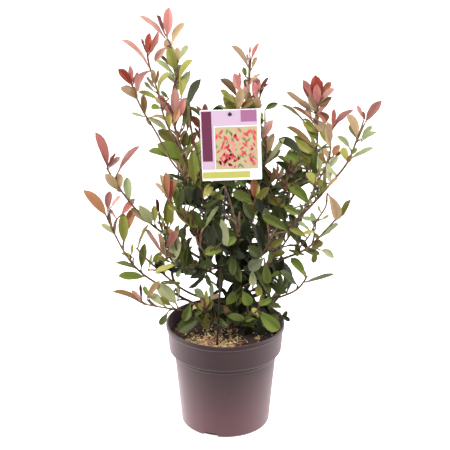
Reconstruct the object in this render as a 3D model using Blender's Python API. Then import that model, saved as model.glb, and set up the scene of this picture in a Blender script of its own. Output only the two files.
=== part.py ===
"""A young red tip photinia in a nursery pot, with its picture card on a slim stick.

The pot stands on the ground at the origin and the front of the plant faces -Y. The plant grows
from one short stem out of the potting mix. Every shoot is a smooth bow from a place on the limb
it grows from, past an elbow, to its tip. Its bare lower part is a bough. Its upper part is a
stem with leaves, which is one mass of leaves.
"""
import math
import random

import bmesh
import bpy
import numpy as np
from mathutils import Matrix, Vector
from mathutils.bvhtree import BVHTree

GAP = 0.0003

# Pot: a turned shell with a deep collar, a thin lip and three drain notches in its foot
POT_SIDES = 44
WALL = 0.0022
FOOT_RADIUS = 0.0866
FOOT_ROUND = 0.0046
LEDGE_HEIGHT = 0.1560
BODY_TOP_RADIUS = 0.1003
COLLAR_FOOT_RADIUS = 0.1094
COLLAR_TOP_RADIUS = 0.1130
LIP_FOOT = 0.2000
LIP_RADIUS = 0.1155
LIP_ROUND = 0.0012
LIP_ROLL = 0.0015
POT_HEIGHT = 0.2103
NOTCH_FIRST_BEARING = -110.0
NOTCH_COUNT = 3
NOTCH_REACH = (0.058, 0.100)
NOTCH_FOOT_WIDTH = 0.040
NOTCH_TOP_WIDTH = 0.026
NOTCH_HEIGHT = 0.0088
NOTCH_BELOW = 0.010

# Potting mix: fills the pot up to a flat top a little below the rim
SOIL_TOP = 0.188
SOIL_EDGE_DIP = 0.003
SOIL_EDGE_WIDTH = 0.008

# Picture card: an upright plate pegged to the head of a leaning stick
STICK_FOOT = (-0.016, -0.061)
STICK_HEAD = (0.008, -0.0765, 0.664)
STICK_RADIUS = 0.0020
STICK_SIDES = 8
CARD_WIDTH = 0.109
CARD_HEIGHT = 0.135
CARD_THICKNESS = 0.001
CARD_CENTRE = (0.0105, -0.0800, 0.6010)
CARD_TURN = -2.0
PEG_POINT = (0.008, 0.6600)
PEG_RADIUS = 0.0020
PEG_HEAD_RADIUS = 0.0050
PEG_HEAD_THICKNESS = 0.0012
PEG_SIDES = 12

# Trunk: one short stem leaning to the right, flared at the potting mix
TRUNK_FOOT = (0.010, 0.022, SOIL_TOP + GAP)
TRUNK_ELBOW = (0.015, 0.022, 0.262)
TRUNK_HEAD = (0.0246, 0.022, 0.3333)
TRUNK_FLARE_RADIUS = 0.0105
TRUNK_FOOT_RADIUS = 0.0066
TRUNK_HEAD_RADIUS = 0.0050
TRUNK_FLARE_HEIGHT = 0.014
TRUNK_SIDES = 10
TRUNK_RING = 0.026
TRUNK_RINGS = 5

# Each shoot: the limb it leaves and how far along, its elbow and tip in metres, the share of it
# that is a bare bough (none for a stem that is leafy from its start), its radius at the start
# and how many leaves it carries
SHOOTS = {
    "middle": ("trunk", 1.00, (0.040, 0.049, 0.528), (0.045, 0.058, 0.704), 0.50, 0.0038, 16),
    "left_leader": ("trunk", 0.94, (-0.114, 0.004, 0.545), (-0.106, 0.030, 0.766), 0.55, 0.0038, 19),
    "left_long": ("trunk", 0.78, (-0.149, -0.016, 0.388), (-0.220, -0.030, 0.539), 0.42, 0.0033, 14),
    "left_mid": ("trunk", 0.86, (-0.084, -0.051, 0.435), (-0.106, -0.060, 0.495), 0.28, 0.0030, 14),
    "left_pink": ("trunk", 0.66, (-0.051, -0.041, 0.340), (-0.109, -0.060, 0.382), 0.32, 0.0030, 13),
    "left_low_inner": ("trunk", 0.36, (-0.096, -0.041, 0.271), (-0.184, -0.060, 0.417), 0.36, 0.0030, 14),
    "left_low": ("trunk", 0.24, (-0.166, -0.006, 0.256), (-0.224, -0.010, 0.433), 0.38, 0.0032, 16),
    "left_lowest": ("trunk", 0.15, (-0.090, -0.033, 0.249), (-0.158, -0.035, 0.264), 0.36, 0.0028, 9),
    "right_long": ("trunk", 0.82, (0.160, -0.056, 0.435), (0.250, -0.030, 0.612), 0.53, 0.0036, 16),
    "right_rosette": ("trunk", 0.94, (0.152, 0.064, 0.409), (0.171, 0.050, 0.636), 0.44, 0.0034, 20),
    "right_mid": ("trunk", 0.76, (0.151, -0.061, 0.367), (0.208, -0.060, 0.452), 0.60, 0.0030, 8),
    "right_low": ("trunk", 0.30, (0.131, -0.046, 0.262), (0.163, -0.050, 0.346), 0.34, 0.0030, 13),
    "back_left": ("trunk", 0.84, (-0.050, 0.150, 0.380), (-0.100, 0.200, 0.470), 0.35, 0.0031, 15),
    "back_right": ("trunk", 0.91, (0.085, 0.140, 0.400), (0.130, 0.180, 0.500), 0.35, 0.0031, 15),
    "back_middle": ("trunk", 0.62, (0.020, 0.160, 0.310), (0.010, 0.220, 0.420), 0.35, 0.0030, 14),
    "front_left": ("trunk", 0.73, (-0.040, -0.106, 0.375), (-0.054, -0.130, 0.443), 0, 0.0028, 17),
    "front_middle": ("trunk", 0.90, (0.020, -0.088, 0.417), (0.026, -0.125, 0.488), 0, 0.0028, 16),
    "front_right": ("trunk", 0.68, (0.073, -0.106, 0.402), (0.106, -0.130, 0.479), 0, 0.0028, 18),
    "left_fork": ("left_leader", 0.43, (-0.128, -0.003, 0.657), (-0.141, -0.010, 0.746), 0, 0.0024, 14),
    "left_upper": ("left_leader", 0.36, (-0.128, 0.053, 0.546), (-0.175, 0.060, 0.670), 0, 0.0025, 17),
    "left_shoulder": ("left_leader", 0.24, (-0.075, 0.045, 0.470), (-0.098, 0.062, 0.540), 0, 0.0022, 13),
    "left_inner": ("left_leader", 0.30, (-0.044, -0.032, 0.545), (-0.067, -0.030, 0.629), 0, 0.0024, 13),
    "card_left": ("left_leader", 0.18, (-0.036, 0.072, 0.534), (-0.038, 0.040, 0.614), 0, 0.0024, 13),
    "middle_twin": ("middle", 0.45, (0.019, 0.008, 0.530), (0.022, 0.020, 0.659), 0, 0.0024, 13),
    "card_right": ("middle", 0.24, (0.083, -0.012, 0.488), (0.072, -0.010, 0.610), 0, 0.0024, 15),
    "back_upper": ("middle", 0.32, (0.020, 0.120, 0.490), (0.025, 0.160, 0.600), 0, 0.0024, 14),
    "right_fork": ("right_long", 0.47, (0.198, -0.006, 0.536), (0.206, 0.000, 0.609), 0, 0.0024, 14),
    "right_upturn": ("right_mid", 0.54, (0.184, -0.093, 0.467), (0.186, -0.090, 0.504), 0, 0.0022, 8),
    "right_inner": ("right_rosette", 0.14, (0.105, -0.006, 0.438), (0.123, 0.000, 0.544), 0, 0.0025, 16),
    "centre_bud": ("trunk", 0.96, (0.042, -0.073, 0.422), (0.057, -0.055, 0.493), 0, 0.0024, 14),
    "front_pair": ("trunk", 0.80, (0.013, -0.074, 0.378), (0.004, -0.090, 0.400), 0, 0.0024, 8),
    "front_mid_right": ("trunk", 0.55, (0.064, -0.066, 0.324), (0.079, -0.090, 0.367), 0, 0.0024, 12),
    "front_low_right": ("trunk", 0.17, (0.057, -0.046, 0.231), (0.064, -0.050, 0.269), 0, 0.0022, 9),
    "front_low_left": ("trunk", 0.07, (-0.032, -0.046, 0.229), (-0.043, -0.050, 0.266), 0, 0.0022, 8),
    "right_lowest": ("trunk", 0.12, (0.092, -0.011, 0.228), (0.114, 0.000, 0.226), 0, 0.0022, 9),
    "right_base": ("trunk", 0.42, (0.080, 0.004, 0.283), (0.105, -0.005, 0.325), 0, 0.0024, 12),
    "back_low_left": ("trunk", 0.44, (-0.090, 0.120, 0.280), (-0.150, 0.150, 0.370), 0, 0.0026, 14),
    "back_low_right": ("trunk", 0.50, (0.100, 0.120, 0.290), (0.155, 0.140, 0.370), 0, 0.0026, 14),
}

# Shape of shoots: a slight weave along the bow, rings on solid limbs and on leafy stems
STEP = 0.004
START_STEP = 0.0001
START_SEARCH = 0.05
INWARD = (0.33, 0.67, 1.0)
WEAVE = 0.0035
WEAVE_SHARE = 0.02
WEAVE_TURNS = 1.6
LEAN_AXIS = (0.31, 0.94, 0.12)
LIMB_SIDES = 8
LIMB_RING = 0.050
STEM_SIDES = 3
STEM_RING = 0.046
BOUGH_TIP_SHARE = 0.72
STEM_TIP_RADIUS = 0.0020
STEM_GROWTH = 1.25

# Leaves: turned by the golden angle from one to the next, wide above the middle, folded and bent
GOLDEN = math.radians(137.5)
LEAF_LENGTH = 0.061
LEAF_WIDTH = 0.0250
LEAF_KEEL = 0.0016
LEAF_LOW = (0.40, 0.86)
LEAF_HIGH = (0.74, 0.90)
LEAF_SINK = 0.008
LEAF_FOLD = 0.18
LEAF_BEND = 0.55
LIGHTWARD = (0, 0, 0.8)
FIRST_LEAF = (0.012, 0.12)
LAST_LEAF = 0.006
OPEN_LOW = math.radians(66)
OPEN_HIGH = math.radians(40)
ROSETTE_LEAVES = 4
ROSETTE_OPEN = (0.12, 0.66)
ROSETTE_STEP = 0.0035
ROSETTE_SIZE = (1.04, 0.80)
TIP_BACK = 0.0015
TWIG_LENGTH = 0.030
TWIG_LEAN = (0.55, 0.85)
TWIG_RISE = 0.25
TWIG_SPAN = 0.08
TWIG_BELOW = 0.75
TWIG_RADIUS = 0.0019
TWIG_LEAVES = 3
TWIG_OPEN = (0.30, 0.95)
TWIG_STEP = 0.005
TWIG_SIZE = 0.86
TWIG_EVERY = 5
SIZE_TRIES = ((0.0, 1.0), (0.7, 1.0), (-0.7, 1.0), (0.35, 0.8), (-0.35, 0.8), (1.4, 0.75))
LEAF_SPOTS = ((0.3, 0.6), (0.42, 0.9), (0.58, 0.9), (0.74, 0.95), (0.88, 0.5), (1.02, 0),
              (0.6, 0), (0.45, 0.4), (0.74, 0.4))
SPACE_SHARED = 0.030
BLADE_START = 0.25
GUARD = 0.0012
GUARD_RIM = ((0.40, 1.05), (0.74, 1.08), (1.03, 0), (0.74, -1.08), (0.40, -1.05))
STEM_GUARD = 0.0006
STEM_GUARD_SIDES = 6
LIMB_MARGIN = 0.0012
CARD_MARGIN = 0.0060

COLOURS = {
    "pot": (0.30, 0.20, 0.21), "soil": (0.06, 0.035, 0.02), "stick": (0.03, 0.02, 0.02),
    "card": (0.85, 0.83, 0.84), "bark": (0.16, 0.09, 0.05), "leaf": (0.10, 0.16, 0.04),
}


# Work on objects and meshes
def material(name, colour):
    """Make a plain material with one base colour."""
    made = bpy.data.materials.new(name)
    made.use_nodes = True
    made.node_tree.nodes["Principled BSDF"].inputs["Base Color"].default_value = (*colour, 1)
    return made


def add_object(name, bm, colour=None):
    """Turn a bmesh into an object with outward normals and its own material."""
    bmesh.ops.recalc_face_normals(bm, faces=bm.faces)
    mesh = bpy.data.meshes.new(name)
    bm.to_mesh(mesh)
    bm.free()
    made = bpy.data.objects.new(name, mesh)
    bpy.context.scene.collection.objects.link(made)
    if colour:
        mesh.materials.append(material(name, COLOURS[colour]))
    return made


def apply_boolean(target, cutters, operation, solver="EXACT"):
    """Run one Boolean on a collection of objects, apply it and remove the collection."""
    group = bpy.data.collections.new("cutters")
    for cutter in cutters:
        group.objects.link(cutter)
    step = target.modifiers.new("joined", "BOOLEAN")
    step.operation = operation
    step.operand_type = "COLLECTION"
    step.collection = group
    step.solver = solver
    result = target.evaluated_get(bpy.context.evaluated_depsgraph_get())
    mesh = bpy.data.meshes.new_from_object(result)
    target.modifiers.remove(step)
    target.data = mesh
    for cutter in cutters:
        bpy.data.objects.remove(cutter)
    bpy.data.collections.remove(group)


def keep_one_body(target):
    """Keep the largest closed body, so that sealed hollows fill and loose scrap drops away."""
    bm = bmesh.new()
    bm.from_mesh(target.data)
    bmesh.ops.triangulate(bm, faces=bm.faces)
    left = set(bm.faces)
    bodies = []
    while left:
        first = left.pop()
        body = {first}
        reached = [first]
        while reached:
            face = reached.pop()
            for edge in face.edges:
                for other in edge.link_faces:
                    if other in left:
                        left.remove(other)
                        body.add(other)
                        reached.append(other)
        bodies.append(body)
    bodies.sort(key=len)
    scrap = [face for body in bodies[:-1] for face in body]
    bmesh.ops.delete(bm, geom=scrap, context="FACES")
    bm.to_mesh(target.data)
    bm.free()


def turned(name, outline, colour):
    """Spin a half outline of (radius, height) points, which starts and ends on the axis."""
    bm = bmesh.new()
    corners = [bm.verts.new((radius, 0, height)) for radius, height in outline]
    edges = [bm.edges.new(pair) for pair in zip(corners, corners[1:])]
    bmesh.ops.spin(bm, geom=corners + edges, cent=(0, 0, 0), axis=(0, 0, 1),
                   angle=math.tau, steps=POT_SIDES, use_merge=True)
    bmesh.ops.remove_doubles(bm, verts=bm.verts, dist=0.00002)
    return add_object(name, bm, colour)


def frames(points, ahead):
    """Frames along a path of points, each carried on from the one before without twist."""
    side = np.cross(ahead[0], LEAN_AXIS)
    placed = []
    for point, forward in zip(points, ahead):
        side = side - forward * np.dot(side, forward)
        side /= np.linalg.norm(side)
        third = np.cross(forward, side)
        turn = Matrix(np.column_stack((side, third, forward)).tolist())
        placed.append(Matrix.Translation(Vector(point)) @ turn.to_4x4())
    return placed


def end_face(place, radius, sides):
    """Corners of the flat polygon that starts a limb."""
    turns = [math.tau * index / sides for index in range(sides)]
    return [place @ Vector((radius * math.cos(turn), radius * math.sin(turn), 0)) for turn in turns]


def tube(points, ahead, radii, sides):
    """Extrude a flat polygon along a path, with a direction and a radius at each point of it."""
    bm = bmesh.new()
    places = frames(points, ahead)
    corners = [bm.verts.new(corner) for corner in end_face(places[0], radii[0], sides)]
    first = face = bm.faces.new(corners)
    for index in range(1, len(places)):
        grown = bmesh.ops.extrude_face_region(bm, geom=[face])["geom"]
        if face is not first:
            bmesh.ops.delete(bm, geom=[face], context="FACES_ONLY")
        face = next(item for item in grown if isinstance(item, bmesh.types.BMFace))
        taper = Matrix.Scale(radii[index] / radii[index - 1], 4)
        step = places[index] @ taper @ places[index - 1].inverted()
        bmesh.ops.transform(bm, matrix=step, verts=face.verts)
    return bm


# Pot and potting mix
def drain_notch(number, clearance):
    """A wedge across the foot of the wall, wider below than above."""
    bm = bmesh.new()
    bmesh.ops.create_cube(bm, size=1)
    near, far = NOTCH_REACH
    for corner in bm.verts:
        top = corner.co.z > 0
        width = (NOTCH_TOP_WIDTH if top else NOTCH_FOOT_WIDTH) / 2 + clearance
        corner.co.y = math.copysign(width, corner.co.y)
        corner.co.x = far if corner.co.x > 0 else near - clearance
        corner.co.z = NOTCH_HEIGHT + clearance if top else -NOTCH_BELOW
    bearing = math.radians(NOTCH_FIRST_BEARING + number * 360 / NOTCH_COUNT)
    bmesh.ops.rotate(bm, verts=bm.verts, cent=(0, 0, 0), matrix=Matrix.Rotation(bearing, 3, "Z"))
    return add_object("notch", bm)


def body_radius(height):
    """Outer radius of the tapered body below the ledge."""
    share = (height - FOOT_ROUND) / (LEDGE_HEIGHT - FOOT_ROUND)
    return FOOT_RADIUS + (BODY_TOP_RADIUS - FOOT_RADIUS) * share


def collar_radius(height):
    """Outer radius of the collar between the ledge and the lip."""
    share = (height - LEDGE_HEIGHT) / (LIP_FOOT - LEDGE_HEIGHT)
    return COLLAR_FOOT_RADIUS + (COLLAR_TOP_RADIUS - COLLAR_FOOT_RADIUS) * share


def make_pot():
    """The shell of the pot, with a step in under the collar."""
    round_in = FOOT_ROUND * 0.3
    inner_ledge = LEDGE_HEIGHT + WALL
    outline = [
        (0, 0), (FOOT_RADIUS - FOOT_ROUND, 0), (FOOT_RADIUS - round_in, round_in),
        (FOOT_RADIUS, FOOT_ROUND), (BODY_TOP_RADIUS, LEDGE_HEIGHT),
        (COLLAR_FOOT_RADIUS, LEDGE_HEIGHT), (COLLAR_TOP_RADIUS, LIP_FOOT),
        (LIP_RADIUS, LIP_FOOT + LIP_ROLL), (LIP_RADIUS, POT_HEIGHT - LIP_ROUND),
        (LIP_RADIUS - LIP_ROUND, POT_HEIGHT), (COLLAR_TOP_RADIUS - WALL + LIP_ROUND, POT_HEIGHT),
        (collar_radius(LIP_FOOT) - WALL, LIP_FOOT + 2 * LIP_ROLL),
        (collar_radius(inner_ledge) - WALL, inner_ledge),
        (BODY_TOP_RADIUS - WALL, inner_ledge), (body_radius(WALL * 2) - WALL, WALL * 2),
        (FOOT_RADIUS - FOOT_ROUND, WALL), (0, WALL),
    ]
    pot = turned("pot", outline, "pot")
    apply_boolean(pot, [drain_notch(n, 0) for n in range(NOTCH_COUNT)], "DIFFERENCE")
    return pot


def make_soil():
    """The potting mix, a filling clear of the pot all round."""
    inner_ledge = LEDGE_HEIGHT + WALL + GAP
    edge = SOIL_TOP - SOIL_EDGE_DIP
    outline = [
        (0, WALL + GAP), (FOOT_RADIUS - FOOT_ROUND - GAP, WALL + GAP),
        (body_radius(WALL * 2) - WALL - GAP, WALL * 2 + GAP),
        (BODY_TOP_RADIUS - WALL - GAP, inner_ledge),
        (collar_radius(inner_ledge) - WALL - GAP, inner_ledge),
        (collar_radius(edge) - WALL - GAP, edge),
        (collar_radius(edge) - WALL - SOIL_EDGE_WIDTH, SOIL_TOP), (0, SOIL_TOP),
    ]
    soil = turned("soil", outline, "soil")
    apply_boolean(soil, [drain_notch(n, GAP) for n in range(NOTCH_COUNT)], "DIFFERENCE")
    return soil


# Picture card and its stick
def rod(start, end, radius, sides):
    """A straight rod between two points."""
    points = np.array([start, end], float)
    ahead = (points[1] - points[0]) / np.linalg.norm(points[1] - points[0])
    return tube(points, [ahead, ahead], [radius, radius], sides)


def make_label():
    """An upright card with a peg hole, and the stick whose peg passes through it."""
    x, y, z = CARD_CENTRE
    bm = bmesh.new()
    bmesh.ops.create_cube(bm, size=1)
    bmesh.ops.scale(bm, verts=bm.verts, vec=(CARD_WIDTH, CARD_THICKNESS, CARD_HEIGHT))
    bmesh.ops.rotate(bm, verts=bm.verts, cent=(0, 0, 0),
                     matrix=Matrix.Rotation(math.radians(CARD_TURN), 3, "Y"))
    bmesh.ops.translate(bm, verts=bm.verts, vec=CARD_CENTRE)
    card = add_object("label_card", bm, "card")
    peg_x, peg_z = PEG_POINT
    through = 10 * CARD_THICKNESS
    hole = rod((peg_x, y - through, peg_z), (peg_x, y + through, peg_z), PEG_RADIUS + 2 * GAP, PEG_SIDES)
    apply_boolean(card, [add_object("hole", hole)], "DIFFERENCE")

    front = y - CARD_THICKNESS / 2 - GAP
    head_end = front - PEG_HEAD_THICKNESS
    stick = rod((*STICK_FOOT, SOIL_TOP + GAP), STICK_HEAD, STICK_RADIUS, STICK_SIDES)
    stick = add_object("label_stick", stick, "stick")
    peg = rod((peg_x, front - GAP, peg_z), (peg_x, STICK_HEAD[1], peg_z), PEG_RADIUS, PEG_SIDES)
    head = rod((peg_x, head_end, peg_z), (peg_x, front, peg_z), PEG_HEAD_RADIUS, PEG_SIDES)
    pieces = [add_object("peg", peg), add_object("head", head)]
    apply_boolean(stick, pieces, "UNION")
    level_foot(stick.data.vertices, STICK_SIDES, SOIL_TOP + GAP)


def level_foot(corners, sides, height):
    """Set the lowest ring of a rod level on a height."""
    lowest = sorted(corners, key=lambda corner: corner.co.z)[:sides]
    for corner in lowest:
        corner.co.z = height


# Paths of the trunk and of the shoots
def bow(start, elbow, tip, seed):
    """Points every few millimetres on a bow from start to tip, with a slight weave."""
    start, elbow, tip = (np.array(point, float) for point in (start, elbow, tip))
    length = np.linalg.norm(elbow - start) + np.linalg.norm(tip - elbow)
    share = np.linspace(0, 1, max(8, int(length / STEP)))[:, None]
    points = (1 - share) ** 2 * start + 2 * share * (1 - share) * elbow + share ** 2 * tip
    chance = random.Random(seed)
    sway = np.array([chance.uniform(-1, 1) for _ in range(3)])
    sway -= (tip - start) * np.dot(sway, tip - start) / np.dot(tip - start, tip - start)
    sway /= np.linalg.norm(sway)
    phase = chance.uniform(0, math.tau)
    wave = np.sin(WEAVE_TURNS * math.tau * share + phase) * np.sin(math.pi * share)
    return points + wave * sway * min(WEAVE, length * WEAVE_SHARE)


def lengths(points):
    """Distance along a path at each of its points."""
    steps = np.linalg.norm(np.diff(points, axis=0), axis=1)
    return np.concatenate(([0.0], np.cumsum(steps)))


def point_at(points, distance):
    """The point and the direction at a distance along a path."""
    along = lengths(points)
    spot = np.array([np.interp(distance, along, points[:, axis]) for axis in range(3)])
    before = np.array([np.interp(distance - STEP, along, points[:, axis]) for axis in range(3)])
    after = np.array([np.interp(distance + STEP, along, points[:, axis]) for axis in range(3)])
    return spot, (after - before) / np.linalg.norm(after - before)


def piece_of(points, start, end, ring):
    """Points evenly spread over a stretch of a path."""
    count = max(2, round((end - start) / ring) + 1)
    return np.array([point_at(points, at)[0] for at in np.linspace(start, end, count)])


def limb_tube(path, spots, radius_at, sides):
    """A tapering limb with a ring at each of some distances along a path."""
    placed = [point_at(path, at) for at in spots]
    points = np.array([point for point, way in placed])
    return tube(points, [way for point, way in placed], [radius_at(at) for at in spots], sides)


def ring_spots(start, end, ring):
    """Distances along a path for the rings of a limb."""
    return np.linspace(start, end, max(2, round((end - start) / ring) + 1))


def clear_start(path, radius, sides, tree):
    """How far along a side limb its flat start lies clear of the limb it grows from."""
    for at in np.arange(START_STEP, START_SEARCH, START_STEP):
        spot, way = point_at(path, at)
        corners = end_face(frames([spot], [way])[0], radius, sides)
        pairs = zip(corners, corners[1:] + corners[:1])
        samples = corners + [first.lerp(second, 0.5) for first, second in pairs]
        samples += [corner.lerp(Vector(spot), share) for corner in samples for share in INWARD]
        if all(outside_by(tree, sample) > GAP for sample in samples):
            return at
    return START_SEARCH


def outside_by(tree, corner):
    """Distance from a point to a closed surface, negative when the point is inside."""
    nearest, normal, _, away = tree.find_nearest(corner)
    return away if (corner - nearest).dot(normal) > 0 else -away


def limb_tree(bm):
    """The surface of a mesh that is only needed to measure from."""
    bmesh.ops.recalc_face_normals(bm, faces=bm.faces)
    tree = BVHTree.FromBMesh(bm)
    bm.free()
    return tree


def plan_shoots():
    """Work out the path, the start, the bare part and the radii of every shoot."""
    trunk = {"path": bow(TRUNK_FOOT, TRUNK_ELBOW, TRUNK_HEAD, "trunk"), "start": 0.0}
    trunk["length"] = trunk["bare_end"] = lengths(trunk["path"])[-1]

    def trunk_radius(at):
        flare = max(0, 1 - at / TRUNK_FLARE_HEIGHT) ** 2 * (TRUNK_FLARE_RADIUS - TRUNK_FOOT_RADIUS)
        taper = (TRUNK_HEAD_RADIUS - TRUNK_FOOT_RADIUS) * at / trunk["length"]
        return TRUNK_FOOT_RADIUS + taper + flare

    trunk["radius"] = trunk_radius
    trunk["tree"] = limb_tree(trunk_tube(trunk))
    plan = {"trunk": trunk}
    for name, (parent, share, elbow, tip, bare, radius, leaves) in SHOOTS.items():
        base = plan[parent]
        root = point_at(base["path"], base["length"] * share)[0]
        path = bow(root, elbow, tip, name)
        length = lengths(path)[-1]

        def limb_radius(at, radius=radius, length=length, bare=bare):
            if not bare:
                return radius
            return radius * (1 - (1 - BOUGH_TIP_SHARE) * min(1, at / (bare * length)))

        shoot = {"path": path, "length": length, "bare_end": bare * length, "radius": limb_radius,
                 "leaves": leaves, "stem_radius": limb_radius(bare * length) * STEM_GROWTH}
        if bare:
            shoot["start"] = clear_start(path, radius, LIMB_SIDES, base["tree"])
            shoot["stem_start"] = shoot["bare_end"] + GAP
            spots = ring_spots(shoot["start"], shoot["bare_end"], LIMB_RING)
            shoot["tree"] = limb_tree(limb_tube(path, spots, limb_radius, LIMB_SIDES))
        else:
            shoot["start"] = clear_start(path, shoot["stem_radius"], STEM_SIDES, base["tree"])
            shoot["stem_start"] = shoot["start"]
        plan[name] = shoot
    return plan


def stem_radius_at(shoot, at):
    """Radius of a leafy stem, tapering to its tip."""
    span = shoot["length"] - shoot["stem_start"]
    share = min(1, max(0, (at - shoot["stem_start"]) / span))
    return shoot["stem_radius"] + (STEM_TIP_RADIUS - shoot["stem_radius"]) * share


# Space of each mass
class Space:
    """The room of one mass: round its own stem, and clear of everything that has grown."""

    def __init__(self, plan, name, solids, grown):
        self.name = name
        self.solids = [tree for key, tree in solids.items() if key != name]
        self.stem = solids[name]
        self.grown = grown
        self.own = stem_points(plan[name])
        self.others = np.concatenate([stem_points(limb) for key, limb in plan.items()
                                      if key not in (name, "trunk")])

    def holds(self, samples):
        """True if sample points keep to this mass's side of its neighbours and behind the card."""
        near = distances(samples, self.own).min(axis=1)
        far = distances(samples, self.others).min(axis=1)
        return not (near > far + SPACE_SHARED).any() and behind_card(samples)

    def takes(self, whole, blade, middle, reach):
        """Claim the room of a leaf or a twig, if it meets no limb and nothing grown before it."""
        if blade.overlap(self.stem) or any(whole.overlap(tree) for tree in self.solids):
            return False
        for name, other_whole, other_blade, other_middle, other_reach in self.grown:
            if np.linalg.norm(middle - other_middle) > reach + other_reach:
                continue
            if name == self.name and blade.overlap(other_blade):
                return False
            if name != self.name and whole.overlap(other_whole):
                return False
        self.grown.append((self.name, whole, blade, middle, reach))
        return True


def stem_points(shoot):
    """Points along the leafy stem of a shoot."""
    return piece_of(shoot["path"], shoot["stem_start"], shoot["length"], STEP)


def mesh_tree(target):
    """The surface of an object, as a tree to test against."""
    corners = [tuple(corner.co) for corner in target.data.vertices]
    return BVHTree.FromPolygons(corners, [tuple(face.vertices) for face in target.data.polygons])


def solid_trees(plan):
    """Surfaces that leaves keep clear of: pot, mix, stick, limbs, and the stem of every mass."""
    solids = {name: mesh_tree(bpy.data.objects[name]) for name in ("pot", "soil", "label_stick")}
    for name, limb in plan.items():
        if limb["bare_end"]:
            spots = ring_spots(limb["start"], limb["bare_end"], LIMB_RING / 2)
            bm = limb_tube(limb["path"], spots, lambda at: limb["radius"](at) + LIMB_MARGIN, LIMB_SIDES)
            solids["limb_" + name] = limb_tree(bm)
        if name != "trunk":
            spots = ring_spots(limb["stem_start"], limb["length"], STEM_RING / 2)
            bm = limb_tube(limb["path"], spots, lambda at: stem_radius_at(limb, at) + STEM_GUARD,
                           STEM_GUARD_SIDES)
            solids[name] = limb_tree(bm)
    return solids


def guard_tree(place, start):
    """A closed shell a little larger than a leaf, used to tell whether two leaves meet."""
    rim = [(start, 0), *GUARD_RIM]
    corners = [place(along, across) for along, across in rim]
    corners += [place(0.5, 0, GUARD), place(0.5, 0, -LEAF_KEEL - GUARD)]
    over, under = len(rim), len(rim) + 1
    faces = []
    for first in range(len(rim)):
        second = (first + 1) % len(rim)
        faces += [(first, second, over), (second, first, under)]
    return BVHTree.FromPolygons([tuple(corner) for corner in corners], faces)


def distances(samples, points):
    """Distances from every sample to every point."""
    return np.linalg.norm(samples[:, None, :] - points[None, :, :], axis=2)


def behind_card(samples):
    """True if no sample is on or in front of the picture card."""
    x, y, z = samples.T
    middle_x, middle_y, middle_z = CARD_CENTRE
    wide = abs(x - middle_x) < CARD_WIDTH / 2 + CARD_MARGIN
    high = abs(z - middle_z) < CARD_HEIGHT / 2 + CARD_MARGIN
    return not (wide & high & (y < middle_y + CARD_MARGIN)).any()


# Leaves and twigs
def leaf_frame(root, way, normal, length, width, bend):
    """A function from (share along, share across, lift) to a point of a folded, bent leaf."""
    side = np.cross(way, normal)

    def place(along, across, lift=0.0):
        turn = bend * along
        forward = length * (math.sin(turn) / bend)
        down = length * ((1 - math.cos(turn)) / bend)
        fold = abs(across) * width / 2 * LEAF_FOLD
        return root + way * forward - normal * (down - fold - lift) + side * across * width / 2

    return place


def leaf_mesh(place):
    """One closed leaf of ten faces: a six-sided blade over a low keel."""
    low, high = LEAF_LOW, LEAF_HIGH
    spots = {
        "root": (-LEAF_SINK, 0), "tip": (1, 0), "keel": (low[0], 0, -LEAF_KEEL),
        "left_low": (low[0], -low[1]), "right_low": low,
        "left_high": (high[0], -high[1]), "right_high": high,
    }
    faces = (
        ("root", "right_low", "left_low"), ("left_low", "right_low", "right_high"),
        ("left_low", "right_high", "left_high"), ("left_high", "right_high", "tip"),
        ("root", "left_low", "keel"), ("left_low", "left_high", "keel"), ("left_high", "tip", "keel"),
        ("keel", "tip", "right_high"), ("keel", "right_high", "right_low"), ("keel", "right_low", "root"),
    )
    bm = bmesh.new()
    corners = {key: bm.verts.new(place(*spot)) for key, spot in spots.items()}
    for names in faces:
        bm.faces.new([corners[key] for key in names])
    return bm


def leaf_samples(place):
    """Points all over a leaf, used to keep it in its space."""
    spots = [(along, across * side) for along, across in LEAF_SPOTS for side in (-1, 1)]
    return np.array([place(along, across) for along, across in spots])


def across_path(way):
    """Two directions across a path."""
    side = np.cross(way, LEAN_AXIS)
    side /= np.linalg.norm(side)
    return side, np.cross(way, side)


def grow_leaf(space, root, way, angle, opening, size, chance):
    """Find the first place, turn and size at which a leaf keeps to its space."""
    side, third = across_path(way)
    for turn, scale in SIZE_TRIES:
        outward = side * math.cos(angle + turn) + third * math.sin(angle + turn)
        ahead = way * math.cos(opening) + outward * math.sin(opening)
        face_up = way * math.sin(opening) - outward * math.cos(opening) + np.array(LIGHTWARD)
        face_up -= ahead * np.dot(face_up, ahead)
        face_up /= np.linalg.norm(face_up)
        length = LEAF_LENGTH * size * scale
        width = LEAF_WIDTH * (0.5 + 0.5 * size) * scale
        place = leaf_frame(root, ahead, face_up, length, width, LEAF_BEND * chance.uniform(0.6, 1.3))
        reach = length / 2 + 4 * GUARD
        if space.holds(leaf_samples(place)) and space.takes(
                guard_tree(place, 0), guard_tree(place, BLADE_START), place(0.5, 0), reach):
            return place
    return None


def twig_path(root, way, angle, chance):
    """A short side twig that leaves its stem and turns up."""
    side, third = across_path(way)
    outward = side * math.cos(angle) + third * math.sin(angle)
    ahead = way * TWIG_LEAN[0] + outward * TWIG_LEAN[1]
    ahead /= np.linalg.norm(ahead)
    length = TWIG_LENGTH * chance.uniform(0.75, 1.25)
    end = root + ahead * length + np.array((0, 0, length * TWIG_RISE))
    return bow(root, root + ahead * length / 2, end, chance.random())


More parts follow.
